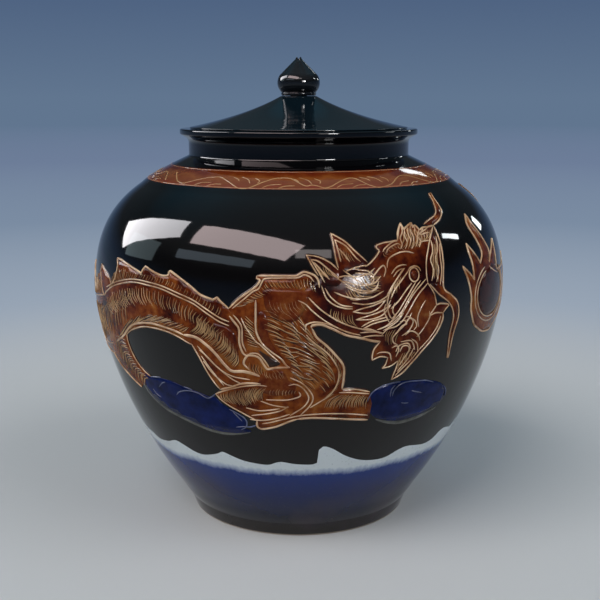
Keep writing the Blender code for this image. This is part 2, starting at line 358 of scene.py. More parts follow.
GLAZE_IOR = 1.37
GLAZE_ROUGHNESS = 0.06
CARVED_IOR = 1.32
CARVED_ROUGHNESS = 0.14
FINE_SHARE = 0.3
FIELD_IOR = 1.20
BODY_ROUGHNESS = 0.05
BARE_ROUGHNESS = 0.65
SILICONE_IOR = 1.41
SILICONE_ROUGHNESS = 0.42
SILICONE_SCATTER = 0.3
SILICONE_DEPTH = (0.004, 0.004, 0.003)
PAPER_IOR = 1.45
PAPER_ROUGHNESS = 0.9
BLACK = rgb(0.0012, 0.0012, 0.0018)
BROWN_BLACK = rgb(0.0045, 0.0035, 0.0028)
SMOKE = rgb(0.060, 0.044, 0.058)
SPECKLE = rgb(0.05, 0.06, 0.10)
INSIDE_BROWN = rgb(0.10, 0.055, 0.03)
BARE_CLAY = rgb(0.36, 0.30, 0.24)
BAND_SHADES = [(0.0, rgb(0.200, 0.032, 0.010)), (0.25, rgb(0.180, 0.042, 0.010)),
               (0.55, rgb(0.230, 0.066, 0.014)), (0.78, rgb(0.145, 0.024, 0.005)),
               (1.0, rgb(0.105, 0.013, 0.004))]
LOWER_SHADES = [(0.0, rgb(0.72, 0.78, 0.80)), (0.055, rgb(0.34, 0.41, 0.55)), (0.10, rgb(0.007, 0.032, 0.20)),
                (0.42, rgb(0.004, 0.016, 0.10)), (0.78, rgb(0.008, 0.012, 0.030)),
                (0.93, rgb(0.030, 0.026, 0.024))]
SKIN_SHADES = [(0.36, rgb(0.018, 0.002, 0.001)), (0.44, rgb(0.075, 0.010, 0.002)),
               (0.50, rgb(0.150, 0.027, 0.004)), (0.57, rgb(0.235, 0.060, 0.009)),
               (0.66, rgb(0.33, 0.130, 0.028))]
HEAD_SHADES = [(0.38, rgb(0.014, 0.002, 0.002)), (0.47, rgb(0.055, 0.007, 0.003)),
               (0.54, rgb(0.115, 0.018, 0.004)), (0.62, rgb(0.175, 0.042, 0.009)),
               (0.72, rgb(0.25, 0.10, 0.024))]
# Painted shade: the dark strips along the flanks of the carved lines stand for the shadow in the carving's
# hollows.
PAINTED_HOLLOW_SHADE = (rgb(0.022, 0.010, 0.007), rgb(0.05, 0.018, 0.010))
# Painted shade: the dark strip beside each combed stroke stands for the shadow in its groove.
PAINTED_GROOVE_SHADE = (rgb(0.014, 0.005, 0.003), rgb(0.05, 0.014, 0.006))
HATCH_SHADES = (rgb(0.20, 0.085, 0.028), rgb(0.56, 0.35, 0.16))
RIDGE_SHADES = (rgb(0.35, 0.160, 0.064), rgb(0.84, 0.60, 0.38))
COBALT_SHADES = (rgb(0.001, 0.004, 0.026), rgb(0.006, 0.015, 0.105))
CLOUD_RIM_SHADES = (rgb(0.06, 0.06, 0.055), rgb(0.16, 0.16, 0.14))
CLOUD_LINE_SHADES = (rgb(0.05, 0.06, 0.11), rgb(0.15, 0.17, 0.28))
PEARL_SHADES = (rgb(0.014, 0.003, 0.002), rgb(0.060, 0.010, 0.004))
BAND_EDGE_SHADES = (rgb(0.30, 0.13, 0.055), rgb(0.46, 0.24, 0.12))
SCROLL_SHADES = (rgb(0.32, 0.145, 0.045), rgb(0.54, 0.32, 0.14))
LID_SHADES = (rgb(0.001, 0.004, 0.006), rgb(0.004, 0.011, 0.017))
KNOB_SHADES = (rgb(0.003, 0.004, 0.005), rgb(0.010, 0.011, 0.013))
SILICONE_SHADES = (rgb(0.55, 0.56, 0.54), rgb(0.72, 0.72, 0.68))


def glaze(name, dark, light):
    """A glossy glaze whose colour drifts between two shades, with the faint waves of a run glaze."""
    nodes = material_nodes(name)
    nodes.bump(nodes.noise(scale=38.0, detail=2.0), strength=0.12, distance=0.002)
    drift = nodes.noise(scale=9.0, detail=4.0)
    return nodes.finish(nodes.mix(drift, dark, light), GLAZE_ROUGHNESS, GLAZE_IOR)


def plain_glaze(name, dark, light, ior=CARVED_IOR):
    """A glaze on carving, whose colour drifts over a few millimetres."""
    nodes = material_nodes(name)
    nodes.bump(nodes.noise(scale=60.0, detail=2.0), strength=0.1, distance=0.001)
    drift = nodes.above(nodes.noise(scale=70.0, detail=4.0), start=0.3, gain=2.5)
    return nodes.finish(nodes.mix(drift, dark, light), CARVED_ROUGHNESS, ior)


def skin_material(name, stops):
    """The dragon's amber glaze, which pools through a run of shades."""
    nodes = material_nodes(name)
    pools = nodes.noise(scale=34.0, detail=5.0)
    fine = nodes.noise(scale=170.0, detail=4.0)
    mottle = nodes.maths("ADD", nodes.maths("MULTIPLY", pools, 1 - FINE_SHARE),
                         nodes.maths("MULTIPLY", fine, FINE_SHARE))
    nodes.bump(fine, strength=0.15, distance=0.001)
    return nodes.finish(nodes.ramp(mottle, stops), CARVED_ROUGHNESS, FIELD_IOR)


# Jar body

BAND_TOP = 0.3395
BAND_BOTTOM = 0.3262
WHITE_TOP = 0.0853
LOWER_REACH = 0.08
BROWN_TOP = 0.1
BROWN_FADE = 0.25
BARE_HEIGHT = 0.0016
GROUND_DEPTH = 0.0009
GROUND_EDGE = 0.004
GROUND_BOTTOM = 0.02
GROUND_FADE = 0.01
# Streaks and drips in the lower glaze: their noise's scale, detail and stretch, and their swing in metres.
STREAKED = ((30.0, 5.0, 0.12, 0.010), (280.0, 2.0, 0.05, 0.0045))


def body_outline():
    """The dressed body's section, from the inner floor up, over the rim and down to the foot's underside."""
    wall = outer_wall(BODY_STEPS)
    heights = wall[:, 1]
    sunk = (np.clip((BAND_BOTTOM - heights) / GROUND_EDGE, 0, 1)
            * np.clip((heights - GROUND_BOTTOM) / GROUND_FADE, 0, 1))
    outer = wall - outward(wall) * (sunk * GROUND_DEPTH)[:, None]
    inner_line = outer_wall(INNER_STEPS)
    inner = [point for point in inner_line - outward(inner_line) * WALL
             if point[1] > FLOOR_HEIGHT + FLOOR_COVE / 2 and point[0] > BORE_RADIUS + SHOULDER_COVE]
    inner.reverse()

    def meet(first, second, share):
        return first + (second - first) * share

    wall_foot = meet(inner[0], inner[1], (FLOOR_HEIGHT - inner[0][1]) / (inner[1][1] - inner[0][1]))
    wall_top = meet(inner[-2], inner[-1], (BORE_RADIUS - inner[-2][0]) / (inner[-1][0] - inner[-2][0]))
    ring_inner = FOOT_RADIUS - FOOT_RING_WIDTH
    corners = [(0, FLOOR_HEIGHT, 0, 0), (*wall_foot, FLOOR_COVE, 6)]
    corners += plain(inner)
    corners += [(*wall_top, SHOULDER_COVE, 5),
                (BORE_RADIUS, BODY_HEIGHT, MOUTH_ROUND, 5),
                (RIM_RADIUS, BODY_HEIGHT, RIM_ROUND, 8),
                (RIM_RADIUS, BODY_HEIGHT - RIM_THICKNESS, RIM_ROUND, 8),
                (NECK_RADIUS, BODY_HEIGHT - RIM_DEPTH, RIM_COVE, 7),
                (*outer[0], NECK_COVE, 6)]
    corners += plain(outer[1:-1])
    corners += [(*outer[-1], FOOT_SOFTENING, 6),
                (FOOT_RADIUS, 0, FOOT_EDGE_ROUND, 4),
                (ring_inner, 0, FOOT_EDGE_ROUND, 3),
                (ring_inner - FOOT_RECESS, FOOT_RECESS, FOOT_EDGE_ROUND, 3),
                (0, FOOT_RECESS, 0, 0)]
    return rounded(corners)


def body_material():
    """Black glaze, the rust band, the white and cobalt zone, the bare foot ring and the glazed inside."""
    nodes = material_nodes("body_glaze")
    place = nodes.add("TexCoord").outputs["Object"]
    height = nodes.add("SeparateXYZ", _0=place).outputs[2]
    below_wave = nodes.add("Attribute", {"attribute_name": "below_wave"}).outputs["Fac"]
    inside = nodes.add("Attribute", {"attribute_name": "inside"}).outputs["Fac"]
    black = nodes.mix(nodes.above(height, BROWN_TOP, 1 / BROWN_FADE), BROWN_BLACK, BLACK)

    mottle = nodes.noise(scale=55.0, detail=5.0, place=place, stretch=(1, 1, 2.5))
    mottle = nodes.above(mottle, start=0.5, gain=1.1, clamp=False)
    rise = nodes.maths("DIVIDE", nodes.maths("SUBTRACT", height, BAND_BOTTOM), BAND_TOP - BAND_BOTTOM)
    band = nodes.ramp(nodes.maths("ADD", rise, mottle), BAND_SHADES)
    in_band = nodes.maths("MULTIPLY", nodes.maths("GREATER_THAN", height, BAND_BOTTOM),
                          nodes.maths("LESS_THAN", height, BAND_TOP))
    colour = nodes.mix(in_band, black, band)

    fall = height
    for scale, detail, stretch, swing in STREAKED:
        streaks = nodes.noise(scale, detail, place, (1, 1, stretch))
        fall = nodes.maths("SUBTRACT", fall, nodes.above(streaks, start=0.5, gain=swing, clamp=False))
    down = nodes.maths("DIVIDE", nodes.maths("SUBTRACT", WHITE_TOP, fall), LOWER_REACH, True)
    smoke = nodes.above(nodes.noise(scale=14.0, detail=7.0), start=0.47, gain=4.0)
    smoke = nodes.maths("MULTIPLY", smoke, nodes.above(down, start=0.10, gain=1.1))
    lower = nodes.mix(smoke, nodes.ramp(down, LOWER_SHADES), SMOKE)
    speckle = nodes.above(nodes.noise(scale=420.0, detail=2.0), start=0.62, gain=2.0)
    lower = nodes.mix(speckle, lower, SPECKLE)
    colour = nodes.mix(nodes.maths("GREATER_THAN", below_wave, 0.0), colour, lower)

    bare = nodes.maths("LESS_THAN", height, BARE_HEIGHT)
    colour = nodes.mix(bare, nodes.mix(inside, colour, INSIDE_BROWN), BARE_CLAY)
    rougher = nodes.maths("MULTIPLY", bare, BARE_ROUGHNESS - BODY_ROUGHNESS)
    roughness = nodes.maths("ADD", rougher, BODY_ROUGHNESS)
    nodes.bump(nodes.noise(scale=30.0, detail=2.0), strength=0.10, distance=0.002)
    return nodes.finish(colour, roughness, GLAZE_IOR)


def make_body():
    """The body, with how far each point lies below the wave line, and which points are inside."""
    outline = body_outline()
    angles = around(BODY_COLUMNS)
    step = traced([WAVE_STEP])[0][0] / BELLY_RADIUS
    for place in (step, 2 * PEARL_ANGLE - step):
        column = int(place / math.tau * BODY_COLUMNS)
        angles[column] = place - WAVE_STEP_WIDTH / 2
        angles[column + 1] = place + WAVE_STEP_WIDTH / 2
    verts, faces = lathe(outline, angles)
    body = add_mesh("body_shell", verts, faces, body_material(), "jar")
    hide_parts("jar_body")
    mesh = body.data
    places = np.zeros(len(mesh.vertices) * 3, np.float32)
    mesh.vertices.foreach_get("co", places)
    places = places.reshape(-1, 3)
    waves = np.array([wave_height(angle) for angle in np.arctan2(places[:, 0], -places[:, 1])])
    inner_points = next(index for index, point in enumerate(outline) if point[1] > BODY_HEIGHT - TINY)
    inside = np.arange(len(places)) < 1 + (inner_points - 1) * BODY_COLUMNS
    for name, values in (("below_wave", waves - places[:, 2]), ("inside", inside)):
        mesh.attributes.new(name, "FLOAT", "POINT").data.foreach_set("value", values.astype(np.float32))


# Lid, knob and seal

LID_COLUMNS = 256
LID_STEPS = 40
INNER_LID_STEPS = 12
SPIGOT_LENGTH = 0.0147
SPIGOT_RADIUS = 0.0910
SPIGOT_WALL = 0.0065
SPIGOT_ROUND = 0.0012
LID_SEAT = lid_low.z + SPIGOT_LENGTH
LID_THICKNESS = 0.0075
BRIM_RADIUS = lid_high.x
BRIM_THICKNESS = 0.002
BRIM_EDGE = 0.0011
BRIM_ROUND = 0.0005
BRIM_FLAT = 0.0045
BRIM_SLOPE = math.tan(math.radians(12))
CROWN_HEIGHT = lid_high.z - LID_SEAT
CROWN_RADIUS = 0.017
CROWN_SLOPE = math.tan(math.radians(28.8))
CROWN_THICKNESS = 0.012
BEAD_TOP = -0.0116
BEAD_BOTTOM = -0.0132
BEAD_REACH = 0.0014
HOLLOW_TOP = -0.0035
HOLLOW_ROUND = 0.005
HOLLOW_MARGIN = 0.006
HOLLOW_MIDDLE = 0.02


def lid_cone(steps):
    """The lid's upper face from the crown out to the brim."""
    start = np.array([CROWN_RADIUS, CROWN_HEIGHT])
    end = np.array([BRIM_RADIUS - BRIM_FLAT, BRIM_THICKNESS])
    run = (start[1] - end[1] - BRIM_SLOPE * (end[0] - start[0])) / (CROWN_SLOPE - BRIM_SLOPE)
    handle = start + np.array([run, -CROWN_SLOPE * run])
    t = np.linspace(0, 1, steps + 1)[:, None]
    return (1 - t) ** 2 * start + 2 * t * (1 - t) * handle + t ** 2 * end


def make_lid():
    """The lid's glazed shell over its hollow, with the spigot under it."""
    hollow = SPIGOT_RADIUS - SPIGOT_WALL
    inner = [point for point in lid_cone(INNER_LID_STEPS) - np.array([0, LID_THICKNESS])
             if HOLLOW_MIDDLE < point[0] < hollow - HOLLOW_MARGIN]
    inner.reverse()
    corners = [(0, CROWN_HEIGHT, 0, 0)] + plain(lid_cone(LID_STEPS))
    corners += [(BRIM_RADIUS, BRIM_EDGE, BRIM_ROUND, 4),
                (BRIM_RADIUS, 0, BRIM_ROUND, 4),
                (SPIGOT_RADIUS, 0, 0, 0),
                (SPIGOT_RADIUS, BEAD_TOP, 0, 0),
                (SPIGOT_RADIUS + BEAD_REACH, BEAD_TOP, BEAD_REACH / 2, 3),
                (SPIGOT_RADIUS, BEAD_BOTTOM, 0, 0),
                (SPIGOT_RADIUS, -SPIGOT_LENGTH, SPIGOT_ROUND, 3),
                (hollow, -SPIGOT_LENGTH, SPIGOT_ROUND, 3),
                (hollow, HOLLOW_TOP, HOLLOW_ROUND, 5)]
    corners += plain(inner)
    corners += [(0, CROWN_HEIGHT - CROWN_THICKNESS, 0, 0)]
    outline = [(radius, height + LID_SEAT) for radius, height in rounded(corners)]
    verts, faces = lathe(outline, around(LID_COLUMNS))
    lid = add_mesh("lid_shell", verts, faces, glaze("lid_glaze", *LID_SHADES), "lid")
    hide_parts("lid")


TENON_LENGTH = 0.005
TENON_RADIUS = 0.008
CROWN_TOP = knob_low.z + TENON_LENGTH
KNOB_COLUMNS = 192
BULB_STEPS = 26
BUD_STEPS = 16
KNOB_HEIGHT = knob_high.z - CROWN_TOP
KNOB_RADIUS = knob_high.x
BULB_SWELL = 0.0041
BULB_HEIGHT = 0.012
BUD_START = 0.0195
STEM_HEIGHT = 0.0028
STEM_BEAD = 0.0006
STEM_BEAD_TOP = STEM_HEIGHT * 0.8
STEM_BEAD_BOTTOM = STEM_HEIGHT * 0.4
STEM_NECK = STEM_HEIGHT * 0.2
FOLD_COUNT = 4
FOLD_DEPTH = 0.0009
FOLD_WIDTH = 0.35
FOLD_TURN = math.radians(12)
TIP_RADIUS = 0.0022
TIP_FALL = 0.0022
TIP_FOOT_RADIUS = TIP_RADIUS * 1.4
TIP_NOTCH = 0.0021
TIP_NOTCH_WIDTH = 0.0011
TIP_NOTCH_START = 0.004
TIP_NOTCH_FADE = 0.003


def knob_outline():
    """The knob's section above the lid's crown: split tip, bud, bulb, stem bead and tenon."""
    fall = BULB_HEIGHT - STEM_HEIGHT
    swell = (fall * fall + BULB_SWELL * BULB_SWELL) / (2 * BULB_SWELL)
    top = math.asin((BUD_START - BULB_HEIGHT) / swell)
    bottom = -math.asin(fall / swell)
    bulb = [(KNOB_RADIUS - swell + swell * math.cos(angle), BULB_HEIGHT + swell * math.sin(angle))
            for angle in np.linspace(top, bottom, BULB_STEPS)]
    stem = KNOB_RADIUS - BULB_SWELL
    corners = [(0, KNOB_HEIGHT, 0, 0), (TIP_RADIUS, KNOB_HEIGHT, TIP_RADIUS / 3, 5)]
    corners += plain(np.linspace((TIP_FOOT_RADIUS, KNOB_HEIGHT - TIP_FALL), bulb[0], BUD_STEPS)[:-1])
    corners += plain(bulb)
    corners += [(stem + STEM_BEAD, STEM_BEAD_TOP, STEM_BEAD / 2, 3),
                (stem + STEM_BEAD, STEM_BEAD_BOTTOM, STEM_BEAD / 2, 3),
                (stem, STEM_NECK, 0, 0),
                (stem, 0, 0, 0),
                (TENON_RADIUS, 0, 0, 0),
                (TENON_RADIUS, -TENON_LENGTH, 0, 0),
                (0, -TENON_LENGTH, 0, 0)]
    return rounded(corners)


def make_knob():
    """The knob, its bud creased into folds and its tip split in two small points."""
    verts, faces = lathe(knob_outline(), around(KNOB_COLUMNS))
    shaped = []
    for x, y, z in verts:
        radius = math.hypot(x, y)
        rise = (z - BUD_START) / (KNOB_HEIGHT - BUD_START)
        if 0 < rise and radius > 0:
            crease = abs(math.sin((math.atan2(y, x) - FOLD_TURN) * FOLD_COUNT / 2))
            depth = FOLD_DEPTH * math.sin(math.pi * min(rise, 1)) * max(0, 1 - crease / FOLD_WIDTH)
            x, y = x * (1 - depth / radius), y * (1 - depth / radius)
        near_tip = min(max((z - KNOB_HEIGHT + TIP_NOTCH_START) / TIP_NOTCH_FADE, 0), 1)
        z -= TIP_NOTCH * near_tip * math.exp(-(x / TIP_NOTCH_WIDTH) ** 2)
        shaped.append((x, y, z + CROWN_TOP))
    knob = add_mesh("knob_bud", shaped, faces, glaze("knob_glaze", *KNOB_SHADES), "lid")
    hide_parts("lid_knob")


def finish_ring():
    """Milky silicone on the seal ring, whose CAD shape already has its fins."""
    nodes = material_nodes("silicone")
    colour = nodes.mix(nodes.noise(scale=60.0, detail=4.0), *SILICONE_SHADES)
    nodes.shader.inputs["Subsurface Weight"].default_value = SILICONE_SCATTER
    nodes.shader.inputs["Subsurface Radius"].default_value = SILICONE_DEPTH
    nodes.bump(nodes.noise(scale=300.0, detail=3.0), strength=0.2, distance=0.0004)
    silicone = nodes.finish(colour, SILICONE_ROUGHNESS, SILICONE_IOR)
    for holder in bpy.data.objects["seal_ring"].material_slots:
        holder.material = silicone


# Lines of the carved picture, as a carver would cut them after the photograph. Each word of a line is a
# place "across,down" in pixels, and a slash marks a corner.

PEARL_ANGLE = math.radians(61.3)
SECOND_TURN = math.radians(9)
SECOND_SHARE = 0.95
RIDGE_WIDTH = 0.0018
LINE_WIDTH = 0.0012
WIDTHS = {"leg_ridge": 0.0028, "strip_edge": 0.0026, "throat": 0.0022, "strip_bottom": 0.0022,
          "band_outer": 0.0020, "leg_under": 0.0020, "lobe_outer": 0.0020, "sole": 0.0020, "toe": 0.0020,
          "knee": 0.0019, "jaw": 0.0018, "sweep": 0.0018, "column_right": 0.0017, "valley": 0.0017,
          "back_top": 0.0017}
FIN_EDGE = ("110.5,284 113.5,280 115.5,273 117,266 117,258 / 121,260 130,266.3 138,271.5 140.5,274 / "
            "142,270 145,266.4 / 152,271.3 160,275.2 166.3,275.6 168,274.2 / 168.7,272 170,270.8 / "
            "180,278.6 190,286.4 200,294.8 212.5,300 / 216.5,297.6 / 221,302.5 228.5,309")
CREST = ("398,239.5 398.5,231 400.6,222.8 / 404,229 / 407,226 411.4,222.5 / 413,227 / 415,225 418,227.5 / "
         "420,229.5 423,227 / 428,226.5 433.5,225")
STROKES = {
    "front_fin_right": "101.5,263.5 104,269 107.5,275 109.5,280 110.5,284",
    "front_fin_left": "101.5,263.5 100.6,272 101.2,283 103.5,295",
    "spine": "104,295.5 106,291.3 113.5,285.5 124,282.9 135,282.4 150,285.9 162,289.5 178,297 193,304 "
        "207,314 219.3,322 229,326",
    "spine_above": "106,287 113.5,282.5 124,279.9 135,279.4 150,282.7 162,286.3 178,293.5 193,300.5 "
        "207,310 219.3,318 229,322",
    "valley": "228.5,308.5 240,297.8 254.3,287.8 259.7,280.6 256.4,278.2 / 257,275.6",
    "back_top": "257,275.6 270,275.8 290,276 297,275.5 303.8,272 310.7,273.6 315.7,276.4 318.6,281.4 "
        "319.5,288",
    "valley_inner": "232,308.6 241,301.5 252.2,292.1 258.5,288.7 262.5,280.8 266,278.6 280,278.2 "
        "297,277.8 304,274.8 310,277 314,282",
    "band_outer": "116.5,341.4 123,335.7 128.6,328 132,325 137.8,323.4 150,323.4 162,326.7 174.3,331 "
        "183,335",
    "band_inner": "126.5,334.3 130.7,330.4 140,327.1 150,327.4 164.5,331 177,336.5 188,343 191.7,344.6",
    "loop_left": "126.5,334.3 127.5,340.7 131.4,351.4 137,362 143.6,370.6 150,376.4",
    "leg_edge": "191.7,344.6 199.3,358 207,372.2 214.3,383 220,389.6",
    "strip_edge": "113.5,352 120.7,364.3 130.5,376.3 141.4,387",
    "leg_ridge": "183,335 195,337.5 205,344.3 214.3,353 225,365.7 232,371.4 243,371.8 253,374 259.6,376.6",
    "leg_line_1": "197,346 210.7,361.4 218,368 230.7,378.6 241,384",
    "leg_line_2": "199,350 207,357 219,369 232,376.5 250,380",
    "leg_line_3": "203,361 212,373 225,384 232,386",
    "leg_line_4": "201,356 208,366 216,376.5 224,386",
    "leg_under": "220,389.6 228.6,388 234.3,386.4 240,384.3 250,383.6 260.7,384.3",
    "knee": "229,316 235,323.5 238.9,330 239.3,343.6 243,353.6 248,356.3",
    "knee_inner": "233,315 238,321 241.6,328 242.3,343 246,352",
    "toe": "249,370 243.6,363.6 246.3,357 250,355.6 258.7,358 265,367 268,369.6 275.7,368.2 290,367.9",
    "toe_outer": "249,353.5 257,353.9 262,358 267,364.3 269,367.5",
    "sweep": "255.5,300 255.5,315 256,331.4 262,343.6 271.4,352.2 280.8,358.8 285.8,365.4 290,367.9",
    "sweep_left": "241,318 245,326.8 255,341 260,345 270,354.5 280,363",
    "foot_top": "215.4,394 224.5,391 241.4,387 257,385.6 267,386.5",
    "foot_edge": "215.4,394 221,400 230,406.5 240,412 250,417.5 257,421",
    "sole": "257,421 257,425.7 259.3,428.6 264.3,429.3 277,426.8 288.6,422.2 297,419.6",
    "strip_bottom": "297,419.6 310,418.4 325.7,418.6 350,419.6 368,420",
    "sole_band": "262,424 270,423 280,420.5 295,417 310,415 330,414 350,414.3 368,415.4",
    "spiral_outer": "288.6,385.7 295.5,384.8 303.6,389.3 308.8,398.5 303.6,407.3 290,416",
    "spiral_rim": "290,378 303,384.4 312.8,396.4 310,406 300,416",
    "spiral_curl": "298.6,392 300.4,395 298.6,397.5 288,400.3 272.9,400.4 266,400",
    "claw_top": "260.5,401.3 272,405.4 285.7,407.7 288.5,407 / 280,411.4 266.4,414.3 251.5,415.7",
    "claw_low": "250,419.7 263,420.7 277,418.5 290,414.5",
    "claw_mid": "246,408 258,411 270,410.5 280,409",
    "lobe_outer": "311.8,328.6 317,338 327,346.5 336.5,356.4 343.6,366.6 343.7,379.2 342,389.5",
    "lobe_inner": "306,335 313,342.2 325.6,351.8 333,360 338.9,372 337,385 329.3,395.7 318.6,403 310,408",
    "strip_top": "342,389.5 350,389.5 358.5,390 370,392",
    "strip_top_2": "339,393 350.7,392.8 369.4,394",
    "throat": "311.8,328.6 / 312,325.7 322,325 333.6,329.6 346.5,335.4 360.8,338.3 374.3,341.4 380.8,341.5",
    "throat_above": "305.7,331 306.4,325 315,322.3 326.4,323.9 335,327.1 349.3,333 361,335.5",
    "neck_low": "298,300.5 305.7,304.4 312,310.8 320.7,318 328,322.9 342,330.2 356.4,334.7",
    "neck_mid": "308,297 315,304.5 325,313 340,322 356,328 372,331",
    "neck_high": "321.5,285.7 323.7,292 327.1,299.3 335,305.5 345,308.5 353,309",
    "neck_high_2": "325,288 330.7,297 340.8,305 353,307",
    "ear_low": "318.6,275.8 312.9,267 306.4,255 / 318.5,257 330,262.5 338.5,270",
    "ear_low_inner": "325,282.8 317,268.8 311,259.5 / 318.6,261.4 330.8,271.3 338,277",
    "ear_high": "338.6,268.5 335.7,257 333.5,243.5 331,233.2 / 345,241.3 355,250.8 367.5,262",
    "ear_high_inner": "341,262 338,250 335,239.5 / 346,246 355,256.4 361,262",
    "head_back": "365.4,266.8 372,261.4 379.3,251.4 376.8,248 376.9,245.2 384,242.6 391,241.5 398,239.5",
    "brow": "383,252 384.8,248.5 392.5,241.9 398,240.6",
    "brow_2": "386.8,253 388.6,248.4 397,243.5 401,245",
    "dome": "387.3,268 388,261.6 390.7,257 400,252.2 408,251.5 414,253",
    "cheek": "371,280 376,273 381,267 384,265.5 386,270 384,277",
    "eyebrow": "391.6,274 396.3,267.8 402,265 407,265",
    "eyebrow_2": "393.5,277 398,271 403,268.4",
    "eye_lid": "408,271 411,267.2 415.5,266 419.3,267.8 421,271",
    "snout_1": "409.3,270 404.3,277 395.7,289 391,299",
    "snout_2": "405,268 400,275 392,287 387,297",
    "snout_3": "412,283 406,291 399,301 391,309",
    "column_left": "433,226 430,240 426.9,259 426.8,273.5 428.2,283",
    "column_right": "433.5,225 440.7,242.5 443.6,261.5 444,287 451.9,295 458.1,302.7 458.8,316 "
        "453.4,334.3 448.2,358",
    "whisker_left": "430,284 439.7,294.3 450.3,303.4 454,316 450,335 447.2,358",
    "horn_right": "430.4,192 435,199 441.5,209.6 440.4,218 433.5,225",
    "horn_left": "428.7,193 434.8,205 435.7,213.5 428,220.5 424,224",
    "lip": "428.2,283 418.2,295.5 409.6,310.3 403.6,320 396.5,326.4 388,329.3 382,335",
    "lip_2": "426,279 414,294 405,309 399,318 390,325 378,330",
    "gape": "428.2,283 434.2,292.7 436,299 437,305 / 441,303.6 449,304.5 446,309 443.4,312.8",
    "tooth": "437,305 433,311 429.7,316 / 436,313 443.4,312.8",
    "jaw": "443.4,312.8 443.2,319 438.7,329.8 431.8,340.2 422,351.4 411.4,363.6 402,373.6 391.4,380",
    "jaw_inner": "441,316 437.8,325.9 430,338 419,350",
    "jaw_line": "429.7,311 430,317.5 423.5,329 417,337",
    "jaw_line_2": "426,300 421,309 418,318 419,327",
    "beard_left": "391.4,380 / 394.4,373 397,366.5 398,361",
    "barb_2": "398,361 391.4,366 382.5,368.6 / 385.6,364.8 388,357.7",
    "barb_1": "388,357.7 380.5,356.9 372.5,360.3 / 372.5,355.8 374.4,349.4 380.8,341.5",
    "barb_curl": "377,354 381.4,352.5 389.5,353.5 391.5,361",
    "curl_1": "396,352 399,346.3 405,343.6 409.3,344.2 411,349",
    "curl_2": "401,342 410.7,340.7 413.6,344.2 415,350",
    "curl_3": "412,339 417.3,343.5 418,352",
    "spiral_jaw": "396,334 402.5,326 406.9,324.2 405.3,320.5 400,322",
    "spiral_jaw_2": "405,317 409.7,317 413.5,321.7 409,331 402,336",
    "mane_1": "361.5,327 372,321.5 388,317",
    "mane_2": "363,329 374.3,323.6 390,319.5",
    "mane_3": "365,328.5 372,330 382,334",
    "mane_4": "360,333 374,332 383,333",
    "mane_5": "361,338 372,336 384,336",
    "mane_6": "345,286 353,290 362,293 372,291.5 379,287",
    "mane_7": "343,281 355,284.5 366,285.5 375,283 381,276",
    "mane_8": "334,292 345,296.5 358,299 372,297.5 384,291",
    "mane_9": "336,278 346,276 358,276.5 368,274 375,268",
    "mane_10": "352,303 366,304.5 380,301 390,294",
    "mane_11": "345,272 354,268 362,266 369,265",
    "lock_1": "343,270 350,275 358,281 366,285 372,283 374,278 369,274.5",
    "lock_2": "331,273 340,280 351,287 361,290.5 371,291 377,287 379,281",
    "lock_3": "352,268 360,270 368,271 375,276",
    "lock_4": "355,273 363,273.5 371,275",
    "ear_low_fill": "314,262 321,270 330,280",
    "ear_high_fill": "338,248 344,254 350,262",
    "snout_4": "404,268 399,276 393,286 389,296 387,306",
    "snout_5": "416,282 411,291 405,301 399,311 392,319",
    "snout_6": "421,280.5 415,289 409,299 403,310 397,317.5 389,324",
    "cheek_2": "391,300 388,308 390,316 393.5,320",
    "cheek_3": "395,303 393,311 396,317",
    "cheek_4": "386,304 384.5,311 387,318 390,323",
    "throat_hair_1": "398,312 393,320 386,326.5 377,330",
    "throat_hair_2": "404,313 398,321 390,327 383,331",
    "mouth_back": "412,313 409,319 404,326 398,332 393,338 394,343 398,345",
    "tongue": "407,320 411,318.5 415.5,321 417,326 414,330",
    "tongue_2": "405.5,335.5 410,331.5 415,332 419,336 420,341",
    "jaw_hair_1": "400,352 403,346.5 408,346 409.5,350 405,357 399,366",
    "jaw_hair_2": "414,348 410,356 404,364 397,372",
    "jaw_hair_3": "419,350 412,359 404,367 395,376",
    "jaw_hair_4": "392,348 397,346 399,350 396,357",
    "tuft_1": "401,224 402.5,231 400.5,238 402.5,244 401,249",
    "tuft_2": "404.5,229 405,236 407.5,242 405.5,249",
    "tuft_3": "407.5,227 408.5,234 411,240 409.5,247",
    "tuft_4": "411,223 410.5,230 413.5,236 414,243 412,249",
    "tuft_5": "415,226 415,233 418,238 416.5,246",
    "tuft_6": "419,229 418,236 421,241 419.5,247",
    "tuft_7": "423.5,227 421.5,232 417.5,235.5",
    "tuft_8": "428.5,226.5 424.5,230 419,233",
    "tuft_9": "430,232 425,233 420,235",
    "tuft_10": "429.5,240 424,240.8 419,242.5",
    "column_1": "431,240 433,250 431,260 434,270 432,281",
    "column_2": "436,236 438,248 436,259 439,269 437,282",
    "column_3": "440,243 440.5,256 442,270 440.5,285",
    "leaf_1": "353,312 362,309 374,305.5 386,300 / 378,309 367,313.5 353,312",
    "leaf_2": "356,320 367,316.5 380,312 391,305 / 383,315 371,319.5 356,320",
}
STREAKS = [
    "270,316 277,319 285,323 292,327",
    "267,323 273,326 280,329 288,333",
    "283,331 292,334 300,336",
    "277,338 285,340 293,342 300,343",
    "278,346 286,347 294,348 301,350",
    "282,351 290,352.5 299,352",
    "285,357 292,358 299,356",
    "303,359 309,361 316,363.5 320,364",
    "291,363 296,365.5 303,366.5 311,366.5",
    "291,371 297,375 303,378 309,379.5 316,379.5",
    "309,370 315,374 321,378 326,380",
    "300,340 306,344 311,348 316,352",
    "307,345 313,350 320,356 327,360",
    "326,371 330,376 334,380",
    "296,331 303,335 309,341 316,346 322,351 328,357",
    "303,345 311,351 319,357 326,364 331,371",
    "313,352 320,358 327,364 333,373 335,383",
    "276,370 280,374 283,379",
    "272,370 275.5,374 277,380",
]
# A dark patch of painted shade in the gap between the leg and the toe, in the glaze of the flank strips.
DARK_GAP = "258,350 270,357 280,364.2 269,367 262,356"
EYE = (414.5, 274.6)
EYE_SIZE = (0.0048, 0.0057)
PUPIL_SIZE = (0.0028, 0.0034)

